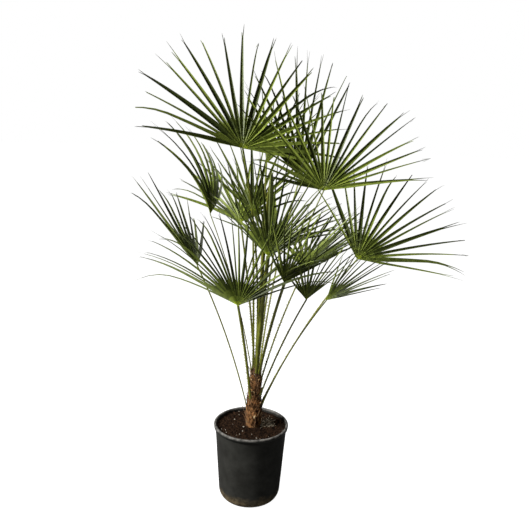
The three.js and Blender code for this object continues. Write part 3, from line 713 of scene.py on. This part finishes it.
def stalk_tree(name, finishes):
    """Sweeps a stalk that is round below and channelled above."""
    def swept_stalks(tree, given):
        places = []
        for side in range(STALK_SIDES):
            angle = 2 * pi * side / STALK_SIDES
            across = cos(angle)
            down = sin(angle)
            is_under = down > NEARLY_LEVEL
            edge = down if is_under else down * STALK_RIM
            depth = math_node(tree, "MULTIPLY", given["Flatness"], edge)
            if not is_under:
                hollow = math_node(tree, "MULTIPLY", given["Channel depth"], 1 - abs(across))
                depth = math_node(tree, "ADD", depth, hollow)
            places.append((across, depth))
        return swept(tree, given, section_through(tree, places), True, finishes)

    return new_tree(name, {
        "Chains": "Geometry", "Flatness": STALK_FLATNESS, "Channel depth": STALK_CHANNEL,
        **finish_inputs(finishes),
    }, "Stalks", swept_stalks)


# Small shapes set on points
def set_on_points(tree, given, **inputs):
    """A shape set on points, as one mesh in one finish."""
    shapes = out(tree, "GeometryNodeInstanceOnPoints", inputs)
    whole = out(tree, "GeometryNodeRealizeInstances", {"Geometry": shapes})
    return out(tree, "GeometryNodeSetMaterial", {"Geometry": whole, "Material": given["Finish"]})


def thorn_rows(tree, given):
    """Rows of short thorns on both margins of each stalk, pointing out and forwards."""
    curves = followed_curve(tree, given)
    part = out(tree, "GeometryNodeSplineParameter", None, "Factor")
    points = add_node(tree, "GeometryNodeCurveToPoints", {
        "Curve": stored(tree, curves, "part", part), "Length": given["Spacing"],
    }, mode="LENGTH").outputs
    kept = stored(tree, points["Points"], "along", points["Tangent"], "FLOAT_VECTOR")
    kept = stored(tree, kept, "side", points["Normal"], "FLOAT_VECTOR")
    pairs = add_node(tree, "GeometryNodeDuplicateElements", {"Geometry": kept, "Amount": 2},
                     domain="POINT").outputs
    hand = math_node(tree, "MULTIPLY_ADD", pairs["Duplicate Index"], 2.0, -1.0)
    side = scaled(tree, point_value(tree, "side", "FLOAT_VECTOR"), hand)
    margin = math_node(tree, "MULTIPLY", point_value(tree, "half_width"), THORN_INSET)
    along = point_value(tree, "along", "FLOAT_VECTOR")
    shift = ranged_random(tree, -THORN_SHIFT * MM, THORN_SHIFT * MM, given["Seed"])
    offset = vector_math(tree, "ADD", scaled(tree, side, margin), scaled(tree, along, shift))
    way = vector_math(tree, "ADD", side, scaled(tree, along, given["Forward"]))
    cone = out(tree, "GeometryNodeMeshCone", {
        "Vertices": THORN_SIDES, "Radius Top": THORN_POINT * MM, "Radius Bottom": given["Width"],
        "Depth": given["Length"],
    })
    return set_on_points(
        tree, given, Points=moved(tree, pairs["Geometry"], Offset=offset),
        Selection=compared(tree, point_value(tree, "part"), "LESS_THAN", given["Armed share"]),
        Instance=cone,
        Rotation=out(tree, "FunctionNodeAlignRotationToVector", {"Vector": way}, axis="Z"),
        Scale=ranged_random(tree, *THORN_SIZES, given["Seed"]),
    )


def strewn_tree(name, shape_of):
    """Small shapes strewn over the faces of a mesh that lie within a reach of a middle."""
    def strewn(tree, given):
        away = out(tree, "ShaderNodeVectorMath", {
            0: out(tree, "GeometryNodeInputPosition"), 1: given["Middle"],
        }, "Value", operation="DISTANCE")
        points = out(tree, "GeometryNodeDistributePointsOnFaces", {
            "Mesh": given["Ground"], "Selection": compared(tree, away, "LESS_THAN", given["Reach"]),
            "Density": given["Density"], "Seed": given["Seed"],
        })
        tilt = ranged_random(tree, *STREWN_TILTS, given["Seed"])
        lean = combined(tree, X=given["Lean"], Y=given["Lean"], Z=1.0)
        change = ranged_random(tree, -1.0, 1.0, given["Seed"])
        spread = math_node(tree, "MULTIPLY_ADD", change, given["Size change"], 1.0)
        return set_on_points(
            tree, given, Points=points, Instance=shape_of(tree),
            Rotation=vector_math(tree, "MULTIPLY", tilt, lean),
            Scale=math_node(tree, "MULTIPLY", spread, given["Size"]),
        )

    values = dict(zip(STREWN_TERMS, STREWN["fine_crumbs"]))
    return new_tree(name, {
        "Ground": "Geometry", **values, "Finish": "Material",
    }, "Strewn", strewn)


def crumb_shape(tree):
    """A lump of unit size, its corners pushed about."""
    ball = out(tree, "GeometryNodeMeshIcoSphere", {"Radius": 1.0, "Subdivisions": 1})
    return moved(tree, ball, Offset=ranged_random(tree, *CRUMB_PUSHES, CRUMB_SEED))


def strand_shape(tree):
    """A thin bent strand of unit length."""
    line = {"Resolution": STRAND_STEPS, **STRAND_POINTS}
    ring = {"Resolution": STRAND_SIDES, "Radius": STRAND_RADIUS}
    return out(tree, "GeometryNodeCurveToMesh", {
        "Curve": out(tree, "GeometryNodeCurveQuadraticBezier", line),
        "Profile Curve": out(tree, "GeometryNodeCurvePrimitiveCircle", ring), "Fill Caps": True,
    })


def clasping_spiral(tree, given):
    """Old leaf sheaths set up a spiral round the trunk."""
    index = out(tree, "GeometryNodeInputIndex")
    share = math_node(tree, "DIVIDE", index, given["Count"])
    slack = ranged_random(tree, -SHEATH_SLACK, SHEATH_SLACK, given["Seed"])
    angle = math_node(tree, "MULTIPLY_ADD", index, given["Turn"], slack)
    radius = out(tree, "ShaderNodeMapRange", {
        "Value": share, "To Min": given["Foot radius"], "To Max": given["Top radius"],
    })
    ends = {0: share, 4: given["Foot"], 5: given["Top"]}
    middle = out(tree, "ShaderNodeMix", ends, 1, data_type="VECTOR")
    outward = combined(tree, X=math_node(tree, "COSINE", angle), Y=math_node(tree, "SINE", angle))
    place = vector_math(tree, "ADD", middle, scaled(tree, outward, radius))
    line = out(tree, "GeometryNodeMeshLine", {"Count": given["Count"]})
    return set_on_points(
        tree, given, Points=moved(tree, line, Position=place),
        Instance=given["Sheath"], Rotation=combined(tree, Y=given["Lean"], Z=angle),
        Scale=ranged_random(tree, *SHEATH_SIZES, given["Seed"]),
    )


LEAFLETS = new_tree("leaflet_sweep", {
    "Chains": "Geometry", "Fold depth": PLEAT_DEPTH, "Rib thickness": RIB_SHARE,
    **finish_inputs(LEAF_FINISHES),
}, "Leaflets", swept_leaflets)
STALKS = stalk_tree("stalk_sweep", STALK_FINISHES)
STUBS = stalk_tree("stub_sweep", STUB_FINISHES)
THORNS = new_tree("thorn_rows", {
    "Chains": "Geometry", "Spacing": THORN_SPACING * MM, "Length": THORN_LENGTH * MM,
    "Width": THORN_HALF_WIDTH * MM, "Armed share": ARMED_SHARE, "Forward": THORN_FORWARD,
    "Seed": THORN_SEED, "Finish": "Material",
}, "Thorns", thorn_rows)
CRUMBS = strewn_tree("crumbs", crumb_shape)
STRANDS = strewn_tree("strands", strand_shape)
CLASPING = new_tree("sheath_spiral", {
    "Sheath": "Geometry", "Count": SHEATHS, "Turn": radians(SHEATH_TURN),
    "Foot": "Vector", "Top": "Vector", "Foot radius": "Float", "Top radius": "Float",
    "Lean": SHEATH_LEAN, "Seed": SHEATH_SEED, "Finish": "Material",
}, "Sheaths", clasping_spiral)


# The fan's rule
def blade_axes(frond):
    """The blade's hub, and the ways forward along it, to its right and off its face."""
    heading, rise, bank = (radians(frond[term]) for term in ("heading", "rise", "bank"))
    forward = polar(frond["heading"], cos(rise), sin(rise))
    level = Vector((sin(heading), -cos(heading), 0))
    above = level.cross(forward)
    side = level * cos(bank) + above * sin(bank)
    face = above * cos(bank) - level * sin(bank)
    return polar(*frond["hub"]) + AXIS_FOOT, forward, side, face


def fan_point(frond, axes, angle, distance):
    """Where the blade is at an angle from its middle line and a distance from its hub."""
    hub, forward, side, face = axes
    share = abs(angle) / max(frond["left"], frond["right"])
    cup = radians(frond["cup"] + frond["fold"] * share)
    turn = radians(angle)
    level = forward * cos(turn) + side * sin(turn)
    ray = level * cos(cup) + face * sin(cup)
    part = distance / frond["reach"]
    curl = face * (frond["curl"] * frond["reach"] * part ** 2)
    droop = UP * (frond["droop"] * frond["reach"] * part ** 3)
    return hub + ray * distance - curl - droop


def fan_axes(frond, axes, angle, distance):
    """A point of the blade, the way across it there and the way off its face."""
    here = fan_point(frond, axes, angle, distance)
    across = (fan_point(frond, axes, angle + SLOPE_TURN, distance) - here).normalized()
    beyond = distance * SLOPE_STRETCH + SLOPE_STEP
    along = (fan_point(frond, axes, angle, beyond) - here).normalized()
    return here, across, across.cross(along).normalized()


def edge_angle(frond, edge):
    shifted = edge + SPACING_CHANGE * sin(edge * SPACING_TURN + frond["reach"])
    return -frond["left"] + (frond["left"] + frond["right"]) * shifted / frond["leaflets"]


def leaflet_chains(frond, axes, seed, index):
    """The chains of one leaflet: from the hub to its fork, and its two tips."""
    near, far = (edge_angle(frond, edge) for edge in (index, index + 1))
    angle = (near + far) / 2
    outer = abs(angle) / max(frond["left"], frond["right"])
    change = 1 + LENGTH_CHANGE * swing(seed, index, "length")
    length = frond["reach"] * (1 - frond["shorten"] * outer ** 2) * change
    root = frond["reach"] * PALMAN_SHARE
    slope = tan(radians((far - near) / 2))
    widest = root * slope * (1 + WIDENING * noise(seed, index, "width"))
    widths = FREE_WIDTHS
    sway = TIP_SWAY * swing(seed, index, "sway")
    rise = TIP_SWAY * swing(seed, index, "rise")
    twist = radians(TWIST) * swing(seed, index, "twist")
    # Painted light and shade: the blade's lean deals lighter shades to high blades and deeper ones
    # to low and front blades
    depth = noise(seed, index, "shade") ** PAINTED_LIGHT_AND_SHADE_LEANS.get(frond["name"], 1)
    shade = LIGHT_SHADE + SHADE_STEPS * depth
    is_unopened = UNOPENED.get(frond["name"]) == index
    if is_unopened:
        widest = UNOPENED_HALF_WIDTH
        widths = UNOPENED_WIDTHS
        sway = rise = twist = 0
        length *= UNOPENED_LENGTH
        shade = UNOPENED_SHADE
    fork = mix(*FORK_SPAN, noise(seed, index, "fork"))
    is_drooping = noise(seed, index, "droop") < DROOPING_SHARE

    def station(at, hand=0):
        """The chain's point at a share of the free length, on one tip for a hand of -1 or 1."""
        here, across, lift = fan_axes(frond, axes, angle, root + (length - root) * at)
        bend = length * at ** TIP_BEND_POWER
        here = here + across * (sway * bend) + lift * (rise * bend)
        if is_drooping:
            drooping = max(0, at - DROOP_FROM) / (1 - DROOP_FROM)
            here = here - UP * (DROOP_DEPTH * length * drooping ** 2)
        if is_unopened:
            here = here + lift * UNOPENED_LIFT
        turn = twist * min(1, TWIST_PACE * at)
        across = across * cos(turn) + lift * sin(turn)
        half_width = widest * read_off(widths, at)
        if hand:
            since = (at - fork) / (1 - fork)
            parting = FORK_PARTING * widest * read_off(widths, fork)
            here = here + across * (hand * (parting + FORK_SPREAD * length * since))
            half_width = FORK_HALF_WIDTH * half_width
        return here, across, half_width, int(TIP_SHADE if at > TIP_SHADE_FROM else shade)

    main = []
    for step in (HUB_INSET / PALMAN_SHARE, *JOINED_STEPS):
        distance = root * step
        here, across, _ = fan_axes(frond, axes, angle, distance)
        half_width = max(HUB_HALF_WIDTH, distance * slope * JOINED_OVERLAP)
        tone = shade
        if step < LIGHT_SHADE_TO:
            tone = HUB_SHADE if step < HUB_SHADE_TO else LIGHT_SHADE
        main.append((here, across, half_width, int(tone)))
    main.extend(station(at) for at in FREE_STEPS if at < fork - FORK_MARGIN)
    main.append(station(fork))
    chains = [main]
    for hand, tip in ((-1, "left tip"), (1, "right tip")):
        reach = 1 - TIP_SHORTENING * noise(seed, index, tip)
        steps = [mix(fork, reach, part / TIP_STEPS) for part in range(1, TIP_STEPS + 1)]
        chain = [station(at, hand) for at in (fork - FORK_OVERLAP, *steps)]
        here, across, _, tone = chain[-1]
        chain[-1] = (here, across, TIP_HALF_WIDTH, tone)
        chains.append(chain)
    return chains


def frond_piece(frond, seed):
    axes = blade_axes(frond)
    chains = []
    for index in range(frond["leaflets"]):
        chains.extend(leaflet_chains(frond, axes, seed, index))
    name = frond["name"]
    blade, = grown_along(chains, (f"fan_{name}", LEAFLETS, finish_values(LEAF_FINISHES)))
    keep(blade, f"frond_{name}")


# Stalks
def arched_points(base, hub, arch, count):
    """Points spread evenly along the stalk's arch, and the way it leans out."""
    start = polar(*base) + AXIS_FOOT
    end = polar(*hub) + AXIS_FOOT
    way = end - start
    outward = Vector((way.x, way.y, 0))
    flat = outward.length
    outward.normalize()
    lift = UP * (flat / way.length) - outward * (way.z / way.length)
    middle = (start + end) / 2 + lift * (2 * arch)
    start = start - (middle - start).normalized() * PETIOLE_SINK
    fine = []
    for step in range(ARCH_STEPS + 1):
        part = step / ARCH_STEPS
        fine.append(start * (1 - part) ** 2 + middle * (2 * part * (1 - part)) + end * part ** 2)
    steps = [(after - before).length for before, after in zip(fine, fine[1:])]
    lengths = np.concatenate([[0], np.cumsum(steps)])
    wanted = np.linspace(0, lengths[-1], count)
    columns = [np.interp(wanted, lengths, column) for column in zip(*fine)]
    return [Vector(place) for place in zip(*columns)], outward


def stalk_chain(base, hub, arch, width_at, shade_at, count=PETIOLE_STEPS):
    points, outward = arched_points(base, hub, arch, count)
    chain = []
    for step, point in enumerate(points):
        share = step / (count - 1)
        before = points[max(0, step - 1)]
        after = points[min(count - 1, step + 1)]
        across = (after - before).normalized().cross(outward).normalized()
        chain.append((point, -across, width_at(share), shade_at(share)))
    return chain


def petiole_width(share, girth):
    foot = PETIOLE_FOOT_SWELL * max(0, 1 - share / PETIOLE_FOOT_SHARE) ** PETIOLE_FOOT_POWER
    swell = 1 + (girth - 1) * min(1, share / GIRTH_REACH)
    return foot + mix(*PETIOLE_HALF_WIDTHS, share) * swell


def petiole_shade(share):
    if share < FOOT_SHADE_TO:
        return FOOT_SHADE
    return NECK_SHADE if share > NECK_SHADE_FROM else STALK_SHADE


def petiole_piece(frond):
    chain = stalk_chain(frond["base"], frond["hub"], frond["arch"],
                        lambda share: petiole_width(share, frond["girth"]), petiole_shade)
    name = frond["name"]
    stalk, armed = grown_along(
        [chain],
        (f"stalk_{name}", STALKS, finish_values(STALK_FINISHES)),
        (f"thorns_{name}", THORNS, {"Finish": THORN_FINISH}),
    )
    keep(stalk, f"petiole_{name}")
    keep(armed)


def spear_piece():
    chain = stalk_chain(SPEAR_BASE, SPEAR_TIP, SPEAR_ARCH,
                        lambda share: read_off(SPEAR_WIDTHS, share), lambda share: STALK_SHADE,
                        SPEAR_STEPS)
    spear, = grown_along([chain], ("spear", STALKS, finish_values(STALK_FINISHES)))
    keep(spear, "spear_leaf")


# Turned shapes
def turned(name, profile, sides, finish, shape_of=None):
    """A profile of (radius, height) turned round the upright axis, its poles closed."""
    vertices = []
    rings = []
    for radius, height in profile:
        ring = []
        for side in range(1 if radius == 0 else sides):
            angle = 2 * pi * side / sides
            place = Vector((radius * cos(angle), radius * sin(angle), height))
            ring.append(len(vertices))
            vertices.append((shape_of(place) if shape_of else place) * MM)
        rings.append(ring)
    faces = []
    for low, high in zip(rings, rings[1:]):
        for side in range(sides):
            after = (side + 1) % sides
            corners = (low[side % len(low)], low[after % len(low)],
                       high[after % len(high)], high[side % len(high)])
            faces.append(tuple(dict.fromkeys(corners)))
    mesh = bpy.data.meshes.new(name)
    mesh.from_pydata([tuple(vertex) for vertex in vertices], [], faces)
    mesh.materials.append(finish)
    for face in mesh.polygons:
        face.use_smooth = True
    mesh.update()
    return new_object(name, mesh)


def keep(piece, node=None):
    """A finished piece: it rides with the plant, and may stand for a CAD node."""
    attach(piece, "root")
    if node:
        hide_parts(node)


# Pot
def body_radius(height):
    share = (height - CORNER_HEIGHT) / (LIP_FOOT - CORNER_HEIGHT)
    return mix(CORNER_RADIUS, WALL_TOP, share)


def foot_corner(inset, floor):
    points = []
    for step in range(CORNER_STEPS + 1):
        angle = pi / 2 * step / CORNER_STEPS
        radius = FOOT_RADIUS + (CORNER_RADIUS - FOOT_RADIUS) * sin(angle) - inset
        points.append((radius, floor + (CORNER_HEIGHT - floor) * (1 - cos(angle))))
    return points


def pot_piece():
    foot = [(FOOT_RADIUS - inset, 0) for inset in FOOT_INSETS]
    wall = []
    for step in range(1, WALL_STEPS + 1):
        height = mix(CORNER_HEIGHT, LIP_FOOT - WALL_TOP_DROP, step / WALL_STEPS)
        wall.append((body_radius(height), height))
    lip_inside = WALL_TOP - POT_WALL
    lip_middle = (POT_RIM_RADIUS + lip_inside) / 2
    half_lip = (POT_RIM_RADIUS - lip_inside) / 2
    lip = [(WALL_TOP + outwards, LIP_FOOT + upwards) for outwards, upwards in LIP_UNDERSIDE]
    for step in range(LIP_STEPS + 1):
        angle = pi * step / LIP_STEPS
        height = POT_HEIGHT - LIP_CROWN + LIP_CROWN * sin(angle)
        lip.append((lip_middle + half_lip * cos(angle), height))
    inside_top = LIP_FOOT - INSIDE_TOP_DROP
    inside = [(body_radius(inside_top) - POT_WALL, inside_top)]
    inside.extend(reversed(foot_corner(POT_WALL, POT_FLOOR)))
    profile = [(0, 0), *foot, *foot_corner(0, 0)[1:], *wall, *lip, *inside, (0, POT_FLOOR)]

    def slightly_uneven(place):
        if place.z < WALL_WAVE_FROM or place.z > LIP_FOOT:
            return place
        wave = WALL_WAVE * grain.noise(place * WALL_WAVE_SCALE)
        return place - Vector((place.x, place.y, 0)).normalized() * abs(wave)

    keep(turned("pot_shell", profile, POT_SIDES, POT_FINISH, slightly_uneven), "pot")


# Soil
def lumpy(place):
    """A place at the soil's level, raised to its mounded and lumpy top; lower ones stay."""
    if place.z < SOIL_LEVEL:
        return place
    flat = Vector((place.x, place.y, 0))
    mound = SOIL_MOUND * max(0, 1 - flat.length / SOIL_MOUND_REACH)
    lumps = sum(grain.noise(flat * scale) * strength for scale, strength in SOIL_LUMPS)
    return flat + UP * (SOIL_LEVEL + mound + SOIL_ROUGHNESS * lumps + SOIL_RISE)


def strewn_piece(name, ground, tree, finish):
    values = dict(zip(STREWN_TERMS, STREWN[name]))
    keep(grow(ground, tree, {**values, "Finish": finish}, name))


def soil_pieces():
    inset = POT_WALL + SOIL_GAP
    edge = body_radius(SOIL_LEVEL) - inset
    under = [(0, POT_FLOOR + SOIL_GAP), *foot_corner(inset, POT_FLOOR + SOIL_GAP)]
    top = [(edge * (1 - step / SOIL_RINGS), SOIL_LEVEL) for step in range(SOIL_RINGS)]
    top.append((0, SOIL_LEVEL))
    keep(turned("soil_bed", under + top, SOIL_SIDES, SOIL_FINISH, lumpy), "soil")
    surface = turned("soil_surface", top, SOIL_SIDES, SOIL_FINISH, lumpy)
    strewn_piece("fine_crumbs", surface, CRUMBS, CRUMB_FINISH)
    strewn_piece("coarse_crumbs", surface, CRUMBS, CRUMB_FINISH)
    strewn_piece("white_chips", surface, CRUMBS, CHIP_FINISH)
    strewn_piece("litter", surface, STRANDS, LITTER_FINISH)
    bpy.data.objects.remove(surface)


# Trunk
def trunk_profile():
    """The trunk's radii, under the furrows' depth, by their share of its height."""
    rows = []
    for step in range(TRUNK_RINGS + 1):
        share = step / TRUNK_RINGS
        flare = TRUNK_FLARE * max(0, 1 - share / TRUNK_FLARE_REACH) ** 2
        radius = mix(TRUNK_FOOT_RADIUS, TRUNK_TOP_RADIUS, share) + flare
        rows.append((radius - TRUNK_FURROWS, share))
    return [(0, 0), *rows, (0, 1)]


def trunk_point(place):
    """A point of the furrowed trunk for a place whose height is a share of the trunk's."""
    share = place.z
    middle = TRUNK_FOOT.lerp(TRUNK_TOP, share)
    flat = Vector((place.x, place.y, 0))
    if flat.length == 0 or share in (0, 1):
        return middle + flat
    outward = flat.normalized()
    furrows = 0
    for round_scale, up_scale, strength in TRUNK_GRAIN:
        spot = Vector((outward.x * round_scale, outward.y * round_scale, middle.z * up_scale))
        furrows += strength * grain.noise(spot)
    return middle + flat + outward * (TRUNK_FURROWS * furrows)


def sheath_shape():
    """A clasping leaf base: a bent plate that is broad below and ragged at its point."""
    bm = bmesh.new()
    grid = []
    for row in range(SHEATH_ROWS + 1):
        height = row / SHEATH_ROWS
        width = SHEATH_HALF_WIDTH * (1 - height ** SHEATH_SHOULDER) ** SHEATH_TAPER + SHEATH_POINT
        line = []
        for column in range(SHEATH_COLUMNS + 1):
            side = 2 * column / SHEATH_COLUMNS - 1
            across = side * width
            bow = sqrt(max(0, TRUNK_FOOT_RADIUS ** 2 - across ** 2)) - TRUNK_FOOT_RADIUS
            ragged = SHEATH_RAGGED * swing(row, column, "ragged") * height
            ripple = SHEATH_RIPPLE * cos(SHEATH_RIPPLES * pi * side)
            proud = SHEATH_PROUD + SHEATH_OPENING * height + ripple
            place = Vector((bow + proud, across, height * SHEATH_LENGTH + ragged))
            line.append(bm.verts.new(place * MM))
        grid.append(line)
    for low, high in zip(grid, grid[1:]):
        for column in range(SHEATH_COLUMNS):
            bm.faces.new((low[column], low[column + 1], high[column + 1], high[column]))
    bmesh.ops.solidify(bm, geom=bm.faces[:], thickness=SHEATH_THICKNESS * MM)
    bmesh.ops.recalc_face_normals(bm, faces=bm.faces[:])
    mesh = bpy.data.meshes.new("sheath")
    bm.to_mesh(mesh)
    bm.free()
    return new_object("sheath", mesh)


def stub_chain(row, place):
    """A cut leaf stalk that leans out of the trunk, its shade 1 where bare wood shows."""
    share = mix(*STUB_SPAN, row / (STUB_ROWS - 1))
    turn = STUB_TURN * swing(row, place, "stub turn")
    outward = polar(360 * (place + 0.5 * (row % 2)) / STUBS_ROUND + turn, 1, 0)
    across = UP.cross(outward)
    lean = radians(STUB_LEAN)
    along = UP * cos(lean) + outward * sin(lean)
    length = STUB_LENGTH * (1 + STUB_LENGTH_CHANGE * swing(row, place, "stub length"))
    radius = mix(TRUNK_FOOT_RADIUS, TRUNK_TOP_RADIUS, share) + STUB_PROUD - STUB_SINK
    start = TRUNK_FOOT.lerp(TRUNK_TOP, share) + outward * radius - along * (length * STUB_START)
    chain = []
    for at, width in STUB_WIDTHS:
        point = start + along * (length * at)
        chain.append((point, -across, STUB_HALF_WIDTH * width, int(at > BARE_FROM[row])))
    return chain


def trunk_pieces():
    core = turned("trunk_core", trunk_profile(), TRUNK_SIDES, BARK_FINISH, trunk_point)
    keep(core, "trunk")
    shape = sheath_shape()
    clasping = grow(shape, CLASPING, {
        "Foot": TRUNK_FOOT * MM, "Top": TRUNK_TOP.lerp(TRUNK_FOOT, SHEATHS_END) * MM,
        "Foot radius": TRUNK_FOOT_RADIUS * MM, "Top radius": TRUNK_TOP_RADIUS * MM,
        "Finish": SHEATH_FINISH,
    }, "leaf_sheaths")
    bpy.data.objects.remove(shape)
    keep(clasping)
    chains = [stub_chain(row, place) for row in range(STUB_ROWS) for place in range(STUBS_ROUND)]
    stubs, = grown_along(chains, ("stubs", STUBS, finish_values(STUB_FINISHES)))
    keep(stubs)
    strewn_piece("trunk_fibres", core, STRANDS, FIBRE_FINISH)


# Studio
def set_world(scene):
    """Dim soft light all round, in front of a backdrop that is white to the camera."""
    world = bpy.data.worlds.new("studio")
    world.use_nodes = True
    scene.world = world
    tree = world.node_tree
    surround = tree.nodes["Background"]
    feed(tree, surround, {"Color": WHITE, "Strength": WORLD_STRENGTH})
    backdrop = out(tree, "ShaderNodeBackground", {"Color": WHITE, "Strength": 1.0})
    seen = out(tree, "ShaderNodeLightPath", None, "Is Camera Ray")
    both = out(tree, "ShaderNodeMixShader", {0: seen, 1: surround.outputs[0], 2: backdrop})
    feed(tree, tree.nodes["World Output"], {"Surface": both})


def set_studio():
    scene = bpy.context.scene
    scene.view_settings.view_transform = "Standard"
    set_world(scene)
    for name, place, size, power in LAMPS:
        data = bpy.data.lights.new(name, "AREA")
        data.size = size
        data.energy = power
        lamp = new_object(name, data)
        lamp.location = place
        lamp.rotation_mode = "QUATERNION"
        lamp.rotation_quaternion = (Vector(LAMP_TARGET) - Vector(place)).to_track_quat("-Z", "Y")
    finish, tree, surface = new_finish("studio_pale", roughness=0.9, specular=0.1)
    seen = out(tree, "ShaderNodeLightPath", None, "Is Camera Ray")
    feed(tree, surface, {
        "Base Color": FLOOR_GREY, "Emission Color": WHITE, "Emission Strength": seen,
    })
    profile = [(FLOOR_RADIUS, FLOOR_HEIGHT), (0, FLOOR_HEIGHT)]
    floor = turned("studio_floor", profile, FLOOR_SIDES, finish)


def build_plant():
    for seed, frond in enumerate(FRONDS):
        frond_piece(frond, seed)
        petiole_piece(frond)
    spear_piece()
    trunk_pieces()
    pot_piece()
    soil_pieces()


set_camera()
build_plant()
set_studio()
